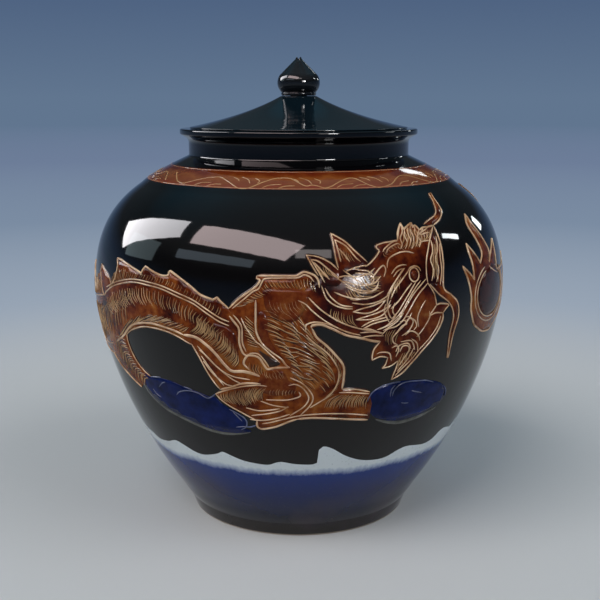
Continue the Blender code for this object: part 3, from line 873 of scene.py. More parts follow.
# Outlines of the raised fields and rows of hatching. Their parts are names of lines, with a minus sign
# where the line runs the other way, or lines of their own. After its two lines a row of hatching gives
# the number of strokes, where they start and end between the lines, their lean and their bow.
FIELDS = {
    "arch": ("tail_top", "front_fin_right", "fins", "236,318 246,345 262,372 263,383", "-leg_under",
        "-leg_edge", "-band_inner", "loop_left", "-strip_edge", "tail_low"),
    "torso": ("valley", "back_top", "326,296 330,312 322,324", "lobe_outer", "strip_top", "372,404 369,419",
        "-strip_bottom", "-sole", "-foot_edge", "222,390.5 232,387 246,378 242,350 233,320"),
    "head": ("300,300 305,290 319,280 326,268 338,267 352,268 365,266", "head_back", "crest",
        "434,226 440.7,242.5 443.6,261.5 444,285 439,290", "gape_end", "jaw", "394.4,373 397,366.5 398,361",
        "barb_2", "barb_1", "throat_back", "304,322 298,311"),
    "ear_low": ("ear_low", "345,276 338,286 326,286"),
    "ear_high": ("ear_high", "368,268 352,275 340,275"),
    "horn": ("horn_right", "-horn_left"),
    "whisker": ("whisker_left", "448.4,358 453.4,334.3 458.8,316 458.1,302.7 451.9,295 443,287 436,282"),
    "pool_foot": ("262,373 272,369 283,372 289,381 296,387 291,393 277,396 264,393 257,386",),
    "pool_chest": ("257.5,314 263,311 268,320 268,334 275,348 283,359 275,356 264,346 257.5,332",),
    "pool_arch": ("214,323 226,327 234,333 237,345 238,356 230,347 221,337 212,330",),
    "pool_back": ("262,291 271,287 282,288 298,289 309,294 306,306 299,319 287,322 274,318 265,308",),
}
DARK_FIELDS = ("head", "ear_low", "ear_high", "pool_foot", "pool_chest", "pool_arch", "pool_back")
HAIR = [
    ("fins", "108,291 118,283 135,278.5 162,285 190,298 219,318",
     "112,276 119,262 138,272 166,276 195,292 224,307", 44, 0.02, 0.8, 0.0, 0.04),
    ("spine", "spine", "116,322 140,312 165,316 190,330 214,348", 46, 0.12, 0.8, 0.01, 0.08),
    ("ticks", "band_outer", "132,314 146,312 168,316 190,326", 24, 0.12, 0.9, 0.06, 0.0),
    ("flank", "104,300 112,296 122,292 134,290", "107,345 113,340 120,334 127,326",
     14, 0.05, 0.9, 0.0, 0.12),
    ("strip", "loop_left", "115,352 124,366 134,378 145,388", 18, 0.12, 0.85, 0.0, 0.15),
    ("thigh", "188,334 203,341 220,357 234,370", "200,314 214,322 229,332 240,350",
     36, 0.04, 0.85, 0.0, 0.1),
    ("back", "valley_inner", "250,304 272,297 296,293 320,297", 26, 0.08, 0.8, -0.03, 0.05),
    ("back_low", "266,297 277,300 288,300 300,298", "276,316 288,318 300,316 309,312",
     9, 0.1, 0.9, 0.0, 0.08),
    ("chest", "243,312 242,330 246,345", "256,322 257,336 262,348", 11, 0.1, 0.9, 0.1, 0.0),
    ("flank_1", "263,308 262,322 270,338 280,352 289,362 292,376",
     "281,314 283,334 290,348 300,364 306,378 304,386", 13, 0.0, 0.98, 0.02, -0.05),
    ("flank_2", "278,306 282,326 288,344 298,360 304,374 304,384",
     "298,322 303,340 314,354 322,368 324,382 316,392", 12, 0.0, 0.95, 0.03, -0.05),
    ("flank_3", "292,308 300,328 306,344 318,358 322,374 318,388",
     "306,332 320,346 330,360 336,374 333,386 326,393", 12, 0.0, 0.95, 0.05, -0.04),
    ("toe", "248,362 258,363 268,372 284,371", "252,378 260,380 272,382 286,382", 12, 0.05, 0.8, 0.0, 0.1),
    ("foot", "foot_top", "224,403 236,408 250,410 262,404", 34, 0.06, 0.85, 0.0, 0.12),
    ("spiral", "270,388 284,388 298,390", "268,398 284,398 296,395", 9, 0.1, 0.9, 0.0, 0.1),
    ("tail_strip", "strip_top_2", "318,413 340,412 366,412", 22, 0.08, 0.85, 0.0, 0.08),
    ("lobe", "lobe_inner", "lobe_outer", 24, 0.1, 0.8, 0.04, 0.0),
    ("neck", "330,305 340,310 352,312", "330,322 344,329 360,333", 9, 0.1, 0.8, 0.1, 0.1),
    ("mane", "340,290 346,284 352,278 360,273 368,268", "364,303 376,300 384,293 386,285 384,277",
     13, 0.08, 0.9, 0.0, 0.16),
    ("crest", "399,248 408,250 416,249 421,244 430,238", "400,226 408,225 414,226 420,229 432,227",
     15, 0.0, 0.95, 0.0, 0.15),
    ("brow", "380,253 386,246 394,242 402,247", "390,262 394,256 400,252.5 408,252", 7, 0.1, 0.7, 0.0, 0.1),
    ("cheek", "391,287 396,280 402,274", "384,304 392,300 400,292", 6, 0.1, 0.9, 0.0, 0.08),
    ("chin", "398,358 405,351 413,349 419,351", "396,374 402,370 407,364 413,360", 9, 0.05, 0.9, 0.0, 0.1),
    ("jowl", "386,330 395,327 400,333", "384,344 390,348 396,346", 6, 0.1, 0.9, 0.0, 0.1),
    ("column_1", "432,240 433.5,240 435,240 436.5,240", "430.5,282 433,282 436,283 440,285",
     4, 0.02, 0.95, 0.0, 0.0),
    ("ear_low", "314,262 322,264 330,268", "326,282 331,282 338,280", 6, 0.1, 0.8, 0.0, 0.05),
    ("ear_high", "336,244 343,247 350,254", "342,266 348,266 358,264", 6, 0.1, 0.8, 0.0, 0.05),
    ("tail_fins", "tail_spine", "tail_crown", 38, 0.06, 0.85, 0.0, 0.04),
    ("tail_body", "tail_spine", "tail_band", 40, 0.12, 0.8, 0.0, 0.1),
]

CLOUDS = [
    "144,373 150,377 160,378.5 172,382 181,386 190,389.5 200,393.3 209,397 / 214.5,397.5 222,404.5 "
        "229,409 237,413 243,417 246.8,421 247,426 244.5,429 / 251,432 238,433.5 225,432.5 213,430 "
        "201,425.5 189,420 177,414 167,408 158,401 149,392 144,384",
    "367,403 369,398 373,393 379,388.5 386,385.5 396,382.8 406,381 414,380.5 424,380 432,380.8 440,382.5 "
        "445,386 446,392 443,399 438,404 430,409 422,413.5 410,418 401,420.5 392,421 383,420 374,417 "
        "368.5,411",
]
CLOUD_RIMS = [
    "141,381 149,393 158,402.5 167,410 177,415.5 189,421.5 201,427 213,431.5 225,433.8 238,434 250,433",
    "376,420 384,422 392,423 401,422.6 410,420.3 420,416.5 428,412.5 436,407.5",
]
CLOUD_LINES = [
    "150,376.8 155,377.3 160,377.5",
    "176.4,395 179,392.2 188,391 198,393.6 206.5,398.4 211,397.3 215.5,394",
    "183.5,387 188,388.8 192,390.5",
    "229,409.5 237,413.7 243.5,418 246.5,422 246,427.5 241,430",
    "233,412.5 237.5,417 242,421.5",
    "158.5,387.5 161.3,383.7 165,382.2",
    "153,389 156,393.5 161,397.5",
    "236,427.5 244,427 250,427.5 257,425.5",
    "367.5,402 370,396.5 374,391.8 380,388 386,385.3 396,382.8 401,382",
    "392.5,396.5 394,391.5 398,387 402,384 408,382 416,381.2 426,380.6 434,382.3",
    "390.5,397 391.8,390 395.5,385.5",
    "412,391 417,392 422,392.8",
    "401.5,403 405,403.4 408.5,403",
    "444.5,386 446.3,390.5 445,396",
]
WAVE = ("150.4,430 158.5,437.4 167,440 174.3,439.3 183,444.2 193.5,450.6 203,453.9 216,453 221.5,451 "
        "230,454.7 242,459.7 256.3,463 268,464.2 276,462 282,461.4 295,463.5 311,464 317.4,462 318.4,456 "
        "319,450 321,446.5 327,446 335,449 346,455 360,459 375,459 387,456 399,449 409,445 424,443 "
        "433,438 442,429 447,426 453,425")
WAVE_STEP = (318.2, 456)
WAVE_STEP_WIDTH = math.radians(0.3)
WAVE_SINK = 0.0012

FLAMES = ("489,329.6 483,331.2 478,328 474.3,323.4 471.7,310 472,296 469.2,281.2 463.7,266.5 / "
          "471.2,274.2 475,279.7 / 473.5,265.7 469,251 467,243.8 / 475.6,254.2 481,263 / 482.3,252 "
          "477,239.8 468,225 465.2,213.6 / 472.6,223.7 482.6,237.3 489.2,250.4 489.8,262 / 490.4,256 "
          "492.3,238 / 495.8,255.8 497.2,268")
PEARL_ROOT = "489.5,265.5 492,268 495,270.5 498,272"
PEARL_HEIGHT = 0.231
PEARL_SIZE = (0.033, 0.0225)
PEARL_RING = (0.0375, 0.0265)
RING_START = math.radians(-50)
RING_SHARE = 0.82

# Lines that the photograph doesn't show: the pearl's far flames, the tail and the wave under it. Their
# places are in degrees from the front and millimetres of height.
FLAMES_RIGHT = "71.5,248 / 76.5,249 81.5,257 / 80,243 79,228 76.5,213 70,202"
TAIL_TOP = ("-115,272 / -110.5,252 -108.5,240 / -106,256 / -103,238 -98,227 / -93,240 / -90,226 / -86,246 "
            "/ -82,232 / -78,250 / -73.5,229 -70.5,231 -68.3,243")
TAIL_LOW = "-65,170 -72,172 -80,182 -88,196 -96,205 -103,209 -110,218 -114,240 -115,272"
TAIL_SPINE = "-62.5,226.5 -70,222 -80,216 -90,213 -99,217 -106,227 -110.5,243"
TAIL_BAND = "-61,182 -68,179 -78,188 -88,201 -97,209 -104,214 -109,224"
TAIL_CROWN = "-66,244 -78,238 -90,230 -102,236 -112,262"
TAIL_WAVE = "-118.7,112 -110,110 -100,104 -92,101 -84,104 -76,106 -70,102 -64,96"

# Heights off the fired surface, and the spacing of points along and between the lines

RIDGE_TOP = 0.0
HATCH_TOP = -0.00012
# The strips of painted shade lie at GROOVE_TOP beside the combed strokes and at FLANK_TOP beside the carved
# lines.
GROOVE_TOP = -0.0003
FLANK_TOP = -0.00037
FIELD_TOP = -0.00045
FIELD_STEP = 0.00003
PUPIL_TOP = -0.0001
PEARL_LIFT = 0.0001
ROOT = -0.0013
FLANK = 0.0021
HATCH_WIDTH = 0.0008
GROOVE_WIDTH = 0.0011
HATCH_TAPER = 0.006
HATCH_BLUNT = 0.15
HATCH_SWAY = 0.2
FOOT_SWAY = 0.12
TIP_SWAY = 0.16
BOW_SWAY = 0.03
WIDTH_SWAY = (0.8, 1.3)
CLOUD_RIM_WIDTH = 0.0040
CLOUD_RIM_TAPER = 0.02
CLOUD_LINE_WIDTH = 0.0011
RIDGE_TAPER = 0.004
RIDGE_BLUNT = 0.25
TAPER_POWER = 0.6
SHOULDER_SHARE = 0.3
SHOULDER_DROP = 0.0005
CROWN_SHARE = 0.27
CROWN_DROP = 0.00008
SPACING = 0.0013
LEAST_STEP = SPACING / 50
LEAST_EDGE = SPACING / 4
LEAST_TURNS = 12
GRID = 0.005
GRID_MARGIN = GRID * 0.4
MILLIMETRES = 1000


def read(text):
    """The places of a line, with None at each corner mark."""
    return [None if word == "/" else tuple(map(float, word.split(","))) for word in text.split()]


def traced(points):
    """Traced pixels as flat (across, run) places in metres, with the corner marks kept."""
    places = iter(pixels_to_wall([point for point in points if point is not None]) * (BELLY_RADIUS, 1))
    return [None if point is None else next(places) for point in points]


def measured(points):
    """Degrees and millimetres of height as flat (across, run) places, with the corner marks kept."""
    return [None if point is None
            else np.array([math.radians(point[0]) * BELLY_RADIUS, run_at_height(point[1] / MILLIMETRES)])
            for point in points]


def spline(points):
    """A rounded line through points, sampled evenly."""
    points = np.array(points)
    if len(points) < 3:
        points = np.array([points[0], (points[0] + points[-1]) / 2, points[-1]])
    padded = np.concatenate([[2 * points[0] - points[1]], points, [2 * points[-1] - points[-2]]])
    line = []
    for before, start, end, after in zip(padded, padded[1:], padded[2:], padded[3:]):
        steps = max(1, math.ceil(np.linalg.norm(end - start) / SPACING))
        t = (np.arange(steps) / steps)[:, None]
        line.append(0.5 * (2 * start + (end - before) * t
                           + (2 * before - 5 * start + 4 * end - after) * t ** 2
                           + (3 * start - before - 3 * end + after) * t ** 3))
    return np.concatenate(line + [points[-1:]])


def smooth(places):
    """A dense line through places, rounded except at the corner marks."""
    stretches = [[]]
    for place in places:
        if place is None:
            stretches.append([stretches[-1][-1]])
        else:
            stretches[-1].append(place)
    lines = [spline(stretch) for stretch in stretches]
    return np.concatenate([lines[0]] + [line[1:] for line in lines[1:]])


def drawn(text):
    """A dense line from its text in pixels."""
    return smooth(traced(read(text)))


def plotted(text):
    """A dense line from its text in degrees and millimetres."""
    return smooth(measured(read(text)))


def mirrored(line):
    """The same line on the other side of the pearl."""
    return np.array([(2 * PEARL_ANGLE + SECOND_TURN) * BELLY_RADIUS, 0]) + line * (-SECOND_SHARE, 1)


def along(line, share):
    """The place at a share of a line's length."""
    run = lengths(line)
    reach = min(max(share, 0), 1) * run[-1]
    return np.array([np.interp(reach, run, line[:, axis]) for axis in (0, 1)])


def circle(centre, size_across, size_down, turns=1.0, start=0.0):
    """A round line about a flat place."""
    steps = max(LEAST_TURNS, int(math.tau * size_across / SPACING))
    angles = np.linspace(start, start + math.tau * turns, steps + 1)
    stretch = BELLY_RADIUS / wall_at(centre[1])[0]
    return centre + np.stack([np.cos(angles) * size_across * stretch, np.sin(angles) * size_down], axis=1)


WAVE_PLACES = smooth(measured(read(TAIL_WAVE)) + traced(read(WAVE)))
WAVE_ANGLES = WAVE_PLACES[:, 0] / BELLY_RADIUS
WAVE_HEIGHTS = wall_at(WAVE_PLACES[:, 1])[1] - WAVE_SINK


def wave_height(angle):
    """The height of the black glaze's lower edge at an angle from the front."""
    turned = (angle - PEARL_ANGLE) % math.tau
    return float(np.interp(PEARL_ANGLE - min(turned, math.tau - turned), WAVE_ANGLES, WAVE_HEIGHTS))


class Relief:
    """Raised shapes on the wall, gathered into one piece."""

    def __init__(self):
        self.verts = []
        self.faces = []

    def put(self, places, lift):
        """Vertices at flat places and one lift. Returns their numbers."""
        first = len(self.verts)
        self.verts += list(on_wall(places[:, 0] / BELLY_RADIUS, places[:, 1], lift))
        return list(range(first, len(self.verts)))

    def ridge(self, line, width, top, taper=RIDGE_TAPER, blunt=RIDGE_BLUNT):
        """A low rounded ridge along a line, narrower at both ends."""
        run = lengths(line)
        keep = np.append(True, np.diff(run) > LEAST_STEP)
        line, run = line[keep], run[keep]
        if len(line) < 3:
            return
        ends = np.minimum(run, run[-1] - run) / max(taper, SPACING)
        widths = width * (blunt + (1 - blunt) * np.clip(ends, 0, 1) ** TAPER_POWER)
        tangent = np.gradient(line, axis=0)
        tangent /= np.linalg.norm(tangent, axis=1)[:, None]
        stretch = BELLY_RADIUS / wall_at(line[:, 1])[0]
        side = np.stack([-tangent[:, 1] * stretch, tangent[:, 0]], axis=1)
        shoulder = top - min(width * SHOULDER_SHARE, SHOULDER_DROP)
        crown = top - CROWN_DROP
        profile = ((-0.5, ROOT), (-0.5, shoulder), (-CROWN_SHARE, crown), (0, top),
                   (CROWN_SHARE, crown), (0.5, shoulder), (0.5, ROOT))
        rings = [self.put(line + side * (widths * share)[:, None], lift) for share, lift in profile]
        for ring, after in zip(rings, rings[1:] + rings[:1]):
            for step in range(len(line) - 1):
                self.faces.append((ring[step], after[step], after[step + 1], ring[step + 1]))
        self.faces.append([ring[0] for ring in reversed(rings)])
        self.faces.append([ring[-1] for ring in rings])

    def field(self, outline, top):
        """A raised field inside a closed outline, with a skirt down into the ground."""
        steps = np.linalg.norm(outline - np.roll(outline, 1, axis=0), axis=1)
        outline = outline[steps > LEAST_EDGE]
        low, high = outline.min(axis=0), outline.max(axis=0)
        across = np.arange(low[0], high[0], GRID)
        down = np.arange(low[1], high[1], GRID)
        grid = np.stack(np.meshgrid(across, down), axis=-1).reshape(-1, 2)
        before = np.roll(outline, 1, axis=0)
        crosses = (outline[:, 1] > grid[:, None, 1]) != (before[:, 1] > grid[:, None, 1])
        rise = np.where(before[:, 1] == outline[:, 1], 1, before[:, 1] - outline[:, 1])
        meet = outline[:, 0] + (grid[:, None, 1] - outline[:, 1]) / rise * (before[:, 0] - outline[:, 0])
        inside = (crosses & (grid[:, None, 0] < meet)).sum(axis=1) % 2 == 1
        nearest = np.linalg.norm(grid[:, None] - outline, axis=2).min(axis=1)
        grid = grid[inside & (nearest > GRID_MARGIN)]
        loop = list(range(len(outline)))
        points = [mathutils.Vector(place) for place in np.concatenate([outline, grid])]
        places, _, triangles, _, _, _ = geometry.delaunay_2d_cdt(points, [], [loop], 1, TINY)
        places = np.array([tuple(place) for place in places])
        upper = self.put(places, top)
        lower = self.put(places, ROOT)
        edges = set()
        for a, b, c in triangles:
            self.faces.append((upper[c], upper[b], upper[a]))
            edges |= {(a, b), (b, c), (c, a)}
        for a, b in edges:
            if (b, a) not in edges:
                self.faces.append((upper[a], upper[b], lower[b], lower[a]))

    def piece(self, name, material):
        """The gathered shapes as one piece of the jar."""
        used = sorted({vert for face in self.faces for vert in face})
        renumber = {old: new for new, old in enumerate(used)}
        faces = [tuple(renumber[vert] for vert in face) for face in self.faces]
        return add_mesh(name, [self.verts[vert] for vert in used], faces, material, "jar")


def hatch(light, dark, seed, first, second, count, start, end, lean, bow):
    """Combed strokes from one line towards another, each with a strip of painted shade beside it, where its
    groove lies in shadow.
    """
    dice = random.Random(seed)
    for index in range(count):
        for relief, shift, top, width in ((light, 0.5, HATCH_TOP, HATCH_WIDTH),
                                          (dark, 1.0, GROOVE_TOP, GROOVE_WIDTH)):
            share = (index + shift + dice.uniform(-HATCH_SWAY, HATCH_SWAY)) / count
            near = along(first, share)
            reach = along(second, share + lean) - near
            foot = near + reach * (start + dice.uniform(0, FOOT_SWAY))
            tip = near + reach * (end - dice.uniform(0, TIP_SWAY))
            bend = bow + dice.uniform(-BOW_SWAY, BOW_SWAY)
            middle = (foot + tip) / 2 + np.array([-reach[1], reach[0]]) * bend
            stroke_width = width * dice.uniform(*WIDTH_SWAY)
            relief.ridge(spline([foot, middle, tip]), stroke_width, top, HATCH_TAPER, HATCH_BLUNT)


def make_picture():
    """The carved dragon, its pearl and clouds, and the same figures on the other side of the pearl."""
    strokes = {name: drawn(text) for name, text in STROKES.items()}
    crowns = {"fins": drawn(FIN_EDGE), "crest": drawn(CREST), "tail_top": plotted(TAIL_TOP),
              "tail_low": plotted(TAIL_LOW)[:-1]}
    tail = {"tail_spine": plotted(TAIL_SPINE), "tail_band": plotted(TAIL_BAND)}
    gape, throat = strokes["gape"], strokes["throat"]
    shapes = {**strokes, **crowns, **tail, "tail_crown": plotted(TAIL_CROWN),
              "gape_end": gape[len(gape) // 5:], "throat_back": throat[::-1][:-3]}

    def shape(source):
        """A line by its name, the other way round after a minus sign, or from its own text."""
        if source in shapes:
            return shapes[source]
        return shapes[source[1:]][::-1] if source[0] == "-" else drawn(source)

    fields = {name: np.concatenate([shape(source) for source in sources]) for name, sources in FIELDS.items()}
    hair = [(name, shape(first), shape(second), *rest) for name, first, second, *rest in HAIR]
    streaks, clouds, cloud_rims, cloud_lines = [[drawn(text) for text in texts]
                                                for texts in (STREAKS, CLOUDS, CLOUD_RIMS, CLOUD_LINES)]
    gap = drawn(DARK_GAP)
    flames = smooth(traced(read(FLAMES)) + measured(read(FLAMES_RIGHT)))
    eye = traced([EYE])[0]
    pearl = np.array([PEARL_ANGLE * BELLY_RADIUS, run_at_height(PEARL_HEIGHT)])
    skin, heads, edges, dark, combed, painted_groove_shadows, blue, rims, pale, hearts = [Relief() for _ in range(10)]

    def cut(path, width=LINE_WIDTH):
        """A ridge with a strip of painted shade along both flanks, where the carving's hollow lies in shadow.
        """
        edges.ridge(path, width, RIDGE_TOP)
        dark.ridge(path, width + FLANK, FLANK_TOP)

    for turn, side in enumerate((lambda flat: flat, mirrored)):
        for rank, (name, outline) in enumerate(fields.items()):
            (heads if name in DARK_FIELDS else skin).field(side(outline), FIELD_TOP + FIELD_STEP * rank)
        for name, path in strokes.items():
            cut(side(path), WIDTHS.get(name, LINE_WIDTH))
        for path in crowns.values():
            edges.ridge(side(path), RIDGE_WIDTH, RIDGE_TOP)
        for path in tail.values():
            cut(side(path))
        edges.ridge(side(circle(eye, *EYE_SIZE)), LINE_WIDTH, RIDGE_TOP, blunt=1.0)
        skin.field(side(circle(eye, *PUPIL_SIZE))[:-1], PUPIL_TOP)
        # Painted shade in the gap of the leg.
        dark.field(side(gap), FLANK_TOP)
        for path in streaks:
            combed.ridge(side(path), HATCH_WIDTH, HATCH_TOP)
            # A strip of painted shade beside each streak.
            painted_groove_shadows.ridge(side(path + (0, HATCH_WIDTH)), GROOVE_WIDTH, GROOVE_TOP)
        for name, first, second, count, start, end, lean, bow in hair:
            hatch(combed, painted_groove_shadows, name + str(turn), side(first), side(second), count, start, end, lean,
                  bow if turn == 0 else -bow)
        for path in clouds:
            blue.field(side(path), FIELD_TOP)
        for path in cloud_rims:
            rims.ridge(side(path), CLOUD_RIM_WIDTH, FIELD_TOP, CLOUD_RIM_TAPER)
        for path in cloud_lines:
            pale.ridge(side(path), CLOUD_LINE_WIDTH, HATCH_TOP)
    edges.ridge(np.concatenate([flames, flames[:1]]), RIDGE_WIDTH, RIDGE_TOP)
    skin.field(flames, FIELD_TOP)
    cut(drawn(PEARL_ROOT))
    for size in (PEARL_SIZE, PEARL_RING):
        cut(circle(pearl, *size, RING_SHARE, RING_START))
    hearts.field(circle(pearl, *PEARL_SIZE)[:-1], FIELD_TOP + PEARL_LIFT)

    skin.piece("dragon_fields", skin_material("dragon_glaze", SKIN_SHADES))
    heads.piece("dragon_dark_fields", skin_material("dragon_dark_glaze", HEAD_SHADES))
    # Painted shade along the flanks of the carved lines and in the leg's gap.
    dark.piece("dragon_painted_hollow_shade", plain_glaze("painted_hollow_shade_glaze", *PAINTED_HOLLOW_SHADE))
    # Painted shade beside each combed stroke.
    painted_groove_shadows.piece("dragon_painted_groove_shade", plain_glaze("painted_groove_shade_glaze", *PAINTED_GROOVE_SHADE))
    combed.piece("dragon_hatching", plain_glaze("hatch_glaze", *HATCH_SHADES))
    edges.piece("dragon_ridges", plain_glaze("ridge_glaze", *RIDGE_SHADES))
    blue.piece("cloud_fields", plain_glaze("cobalt_glaze", *COBALT_SHADES, FIELD_IOR))
    rims.piece("cloud_rims", plain_glaze("rim_glaze", *CLOUD_RIM_SHADES))
    pale.piece("cloud_lines", plain_glaze("cloud_line_glaze", *CLOUD_LINE_SHADES))
    hearts.piece("pearl_fields", plain_glaze("pearl_glaze", *PEARL_SHADES, FIELD_IOR))


# Scroll on the rust band

SCROLL = ("177,172 177.5,181 / 183,183 190,181.5 200,179 210,177.5 220,177 226,180 232,184 237,187.5 "
          "243,188.5 250,187.5 256,185 262,182.5 268,180.5 275,178.5 283,178 290,178.5 296,181 302,184.5 "
          "307,186 312,185 318,186 325,188 332,186 337,183 343,180 349,178 355,178.5 361,181 367,184 "
          "373,186 379,187.3 386,186 391,184")
SCROLL_MIDDLE = 0.3306
SCROLL_REACH = 0.0037
SCROLL_START = 0.93
SCROLL_END = 1.06
SCROLL_WAVES = 10
SCROLL_WIDTH = 0.0016
SCROLL_TOP = 0.0002
SCROLL_STEPS = 400
CRESTS_SEEN = [-32.0, -5.7, 19.3]
TROUGHS_SEEN = [-18.5, 3.2, 29.5]
LEAVES_UNDER = [[(-6.5, -3.2), (-4, -1.2), (0, -0.6)], [(-1, -3.4), (1.5, -1.8), (4.5, -1.6)]]
LEAVES_OVER = [[(-3, 4.2), (0, 2.6), (1.5, -0.4)], [(2.5, 3.6), (4.5, 1.8), (4.2, -0.2)],
               [(-6.5, 4), (-4, 2.6), (-3, 1)]]
UNDER_WIDTH = 0.0013
OVER_WIDTH = 0.0012
LEAF_TAPER = 0.002
LEAF_BLUNT = 0.2
EDGE_LINE_WIDTH = 0.0012
EDGE_LINE_STEPS = 720


def make_band():
    """The rust band's edge lines and its waved scroll with leaves."""
    edges = Relief()
    across = np.linspace(-math.pi, math.pi, EDGE_LINE_STEPS + 1) * BELLY_RADIUS
    for height in (BAND_TOP - EDGE_LINE_WIDTH / 2, BAND_BOTTOM + EDGE_LINE_WIDTH / 2):
        level = np.full(len(across), run_at_height(height))
        edges.ridge(np.stack([across, level], axis=1), EDGE_LINE_WIDTH, SCROLL_TOP, blunt=1.0)
    edges.piece("band_edges", plain_glaze("band_edge_glaze", *BAND_EDGE_SHADES))

    vine = Relief()
    seen = drawn(SCROLL)
    turns = np.linspace(0, 1, SCROLL_STEPS)
    angles = seen[-1, 0] + (seen[0, 0] + math.tau * BELLY_RADIUS - seen[-1, 0]) * turns
    phases = SCROLL_START + (math.tau * SCROLL_WAVES - SCROLL_END - SCROLL_START) * turns
    heights = SCROLL_MIDDLE - SCROLL_REACH * np.cos(phases)
    unseen = np.stack([angles, run_at_height(heights)], axis=1)
    vine.ridge(np.concatenate([seen[:-1], unseen]), SCROLL_WIDTH, SCROLL_TOP, blunt=1.0)
    for places, first, count, leaves, width in (
            (CRESTS_SEEN, math.pi, SCROLL_WAVES, LEAVES_UNDER, UNDER_WIDTH),
            (TROUGHS_SEEN, math.tau, SCROLL_WAVES - 1, LEAVES_OVER, OVER_WIDTH)):
        hidden = [math.degrees(np.interp(first + math.tau * wave, phases, angles) / BELLY_RADIUS)
                  for wave in range(count)]
        for place in places + hidden:
            for leaf in leaves:
                points = [(place + turn, SCROLL_MIDDLE * MILLIMETRES + rise) for turn, rise in leaf]
                vine.ridge(smooth(measured(points)), width, SCROLL_TOP, LEAF_TAPER, LEAF_BLUNT)
    vine.piece("band_scroll", plain_glaze("scroll_glaze", *SCROLL_SHADES))


# Set, light and camera

FLOOR_REACH = 14
POOL_START = 0.45
POOL_END = 1.1
PAPER = rgb(0.62, 0.63, 0.64)
HORIZON = rgb(0.12, 0.18, 0.275)
ABOVE_HORIZON = rgb(0.078, 0.125, 0.22)
BACKDROP = [(0.03, rgb(0.41, 0.45, 0.50)), (0.08, rgb(0.305, 0.366, 0.451)), (0.17, rgb(0.198, 0.262, 0.361)),
            (0.39, rgb(0.153, 0.205, 0.314)), (1.0, HORIZON)]
FRONT_ROOM = [(0.0, HORIZON), (0.094, ABOVE_HORIZON), (0.2, rgb(0.05, 0.055, 0.065)),
              (0.3, rgb(0.05, 0.053, 0.062)), (0.52, rgb(0.23, 0.23, 0.24)), (1.0, rgb(0.27, 0.29, 0.31))]
BACK_ROOM = [(0.0, HORIZON), (0.094, ABOVE_HORIZON), (0.24, rgb(0.04, 0.05, 0.06)),
             (0.5, rgb(0.055, 0.08, 0.095)), (0.66, rgb(0.07, 0.16, 0.22)), (0.85, rgb(0.17, 0.32, 0.42)),
             (1.0, rgb(0.24, 0.32, 0.37))]
ROOM_BLEND = 0.5
LAMP_DISTANCE = 8
# A name, azimuth, elevation, width, height, roll, radiance and colour. False marks light that isn't mirrored.
SOFTBOXES = [
    ("soft_key", -40, 50, 6.0, 4.0, 0, 4.8, (1.0, 0.98, 0.96), False),
    ("soft_fill", 60, 45, 5.0, 4.0, 0, 2.6, (0.95, 0.98, 1.0), False),
    ("box_left", -107, 30, 6.0, 2.4, 44, 13.0, (0.97, 0.95, 0.99)),
    ("box_left_low", -101, 17.5, 3.4, 2.0, 12, 1.6, (0.60, 0.78, 0.84)),
    ("box_front", -37, 47, 8.1, 2.9, -6, 11.5, (1.0, 0.81, 0.81)),
    ("box_front_low", -50, 27, 6.4, 1.1, 3, 2.0, (0.70, 0.85, 1.0)),
    ("box_front_end", 9, 37.5, 2.4, 1.2, -3, 5.0, (1.0, 0.9, 0.88)),
    ("box_mane", 28, 12.6, 2.6, 1.6, -6, 15.0, (1.0, 0.95, 0.95)),
    ("box_mane_spot", 31.9, 11.3, 1.15, 0.8, -6, 150.0, (1.0, 1.0, 1.0)),
    ("box_right", 103.5, 25, 1.6, 0.5, -38, 24.0, (0.92, 0.98, 1.0)),
    ("box_far_right", 135, 14, 0.6, 0.9, 0, 14.0, (0.92, 0.98, 1.0)),
    ("box_shoulder", 157, 28.5, 1.2, 0.2, -89, 6.0, (0.92, 0.98, 1.0)),
]


def make_set():
    """A pale paper floor that runs off into a slate backdrop, as the camera and the glaze see it."""
    corners = [(-FLOOR_REACH, -FLOOR_REACH, 0), (FLOOR_REACH, -FLOOR_REACH, 0),
               (FLOOR_REACH, FLOOR_REACH, 0), (-FLOOR_REACH, FLOOR_REACH, 0)]
    mesh = bpy.data.meshes.new("studio_floor")
    mesh.from_pydata(corners, [], [(0, 1, 2, 3)])
    nodes = material_nodes("studio_paper")
    place = nodes.add("TexCoord").outputs["Object"]
    away = nodes.add("VectorMath", {"operation": "LENGTH"}, _0=place).outputs["Value"]
    far = nodes.add("MapRange", {"interpolation_type": "SMOOTHSTEP"}, Value=away, From_Min=POOL_START,
                    From_Max=POOL_END).outputs[0]
    sight = nodes.add("LightPath").outputs
    seen = nodes.maths("ADD", sight["Is Camera Ray"], sight["Is Glossy Ray"], True)
    seen = nodes.maths("ADD", seen, sight["Is Transmission Ray"], True)
    nodes.finish(PAPER, PAPER_ROUGHNESS, PAPER_IOR)
    nodes.shader.inputs["Specular IOR Level"].default_value = 0.0
    backdrop = nodes.ramp(nodes.maths("DIVIDE", away, FLOOR_REACH), BACKDROP)
    glow = nodes.add("Emission", Color=backdrop, Strength=1.0).outputs[0]
    blend = nodes.add("MixShader", _0=nodes.maths("MULTIPLY", far, seen), _1=nodes.shader.outputs[0], _2=glow)
    nodes.feed(nodes.tree.nodes["Material Output"].inputs["Surface"], blend.outputs[0])
    mesh.materials.append(nodes.owner)
    floor = bpy.data.objects.new("studio_floor", mesh)
    bpy.context.scene.collection.objects.link(floor)


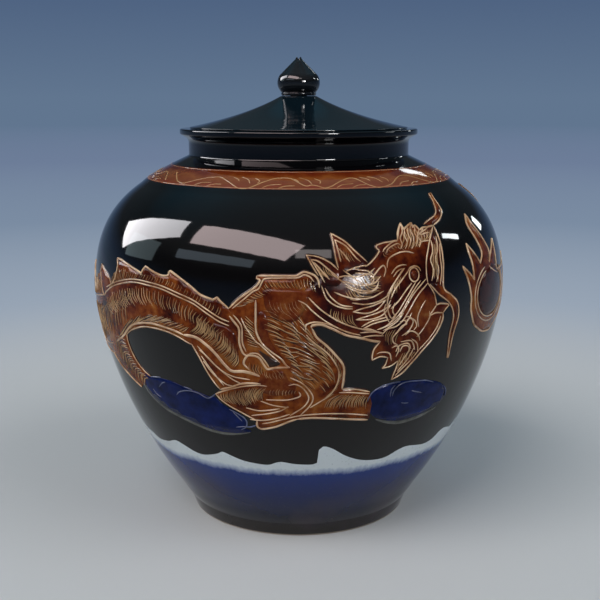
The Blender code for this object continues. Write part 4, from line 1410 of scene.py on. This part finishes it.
def make_light(name, azimuth, elevation, width, height, roll, radiance, colour, mirrored_only=True):
    """A softbox at a direction from the jar. Azimuth 0 is the camera's side and grows to the right."""
    azimuth, elevation = math.radians(azimuth), math.radians(elevation)
    towards = mathutils.Vector((math.sin(azimuth) * math.cos(elevation),
                                -math.cos(azimuth) * math.cos(elevation), math.sin(elevation)))
    lamp = bpy.data.lights.new(name, "AREA")
    lamp.shape = "RECTANGLE"
    lamp.size = width
    lamp.size_y = height
    lamp.energy = radiance * math.pi * width * height
    lamp.color = colour
    light = bpy.data.objects.new(name, lamp)
    light.location = mathutils.Vector((0, 0, BELLY_HEIGHT)) + towards * LAMP_DISTANCE
    turn = towards.to_track_quat("Z", "Y") @ mathutils.Quaternion((0, 0, 1), math.radians(roll))
    light.rotation_euler = turn.to_euler()
    light.visible_diffuse = not mirrored_only
    light.visible_glossy = mirrored_only
    light.visible_camera = False
    bpy.context.scene.collection.objects.link(light)


def make_lights():
    """Soft boxes where the glaze mirrors them as the photograph shows, and a dim room round them."""
    for softbox in SOFTBOXES:
        make_light(*softbox)
    nodes = Nodes(bpy.data.worlds.new("room"))
    direction = nodes.add("SeparateXYZ", _0=nodes.add("TexCoord").outputs["Generated"]).outputs
    back = nodes.add("MapRange", Value=direction[1], From_Min=-ROOM_BLEND, From_Max=ROOM_BLEND).outputs[0]
    room = nodes.mix(back, nodes.ramp(direction[2], FRONT_ROOM), nodes.ramp(direction[2], BACK_ROOM))
    nodes.feed(nodes.tree.nodes["Background"].inputs["Color"], room)
    bpy.context.scene.world = nodes.owner


def make_camera():
    """The photograph's view."""
    lens = bpy.data.cameras.new("photo_camera")
    lens.sensor_width = SENSOR_WIDTH
    lens.lens = SENSOR_WIDTH * FOCAL_PIXELS / IMAGE_WIDTH
    camera = bpy.data.objects.new("photo_camera", lens)
    camera.location = CAMERA_PLACE
    camera.rotation_euler = (math.pi / 2 - CAMERA_TILT, 0, 0)
    bpy.context.scene.collection.objects.link(camera)
    bpy.context.scene.camera = camera


make_camera()
make_set()
make_lights()
make_body()
make_lid()
make_knob()
finish_ring()
make_picture()
make_band()

bpy.context.scene.view_settings.view_transform = "Standard"
bpy.context.view_layer.update()
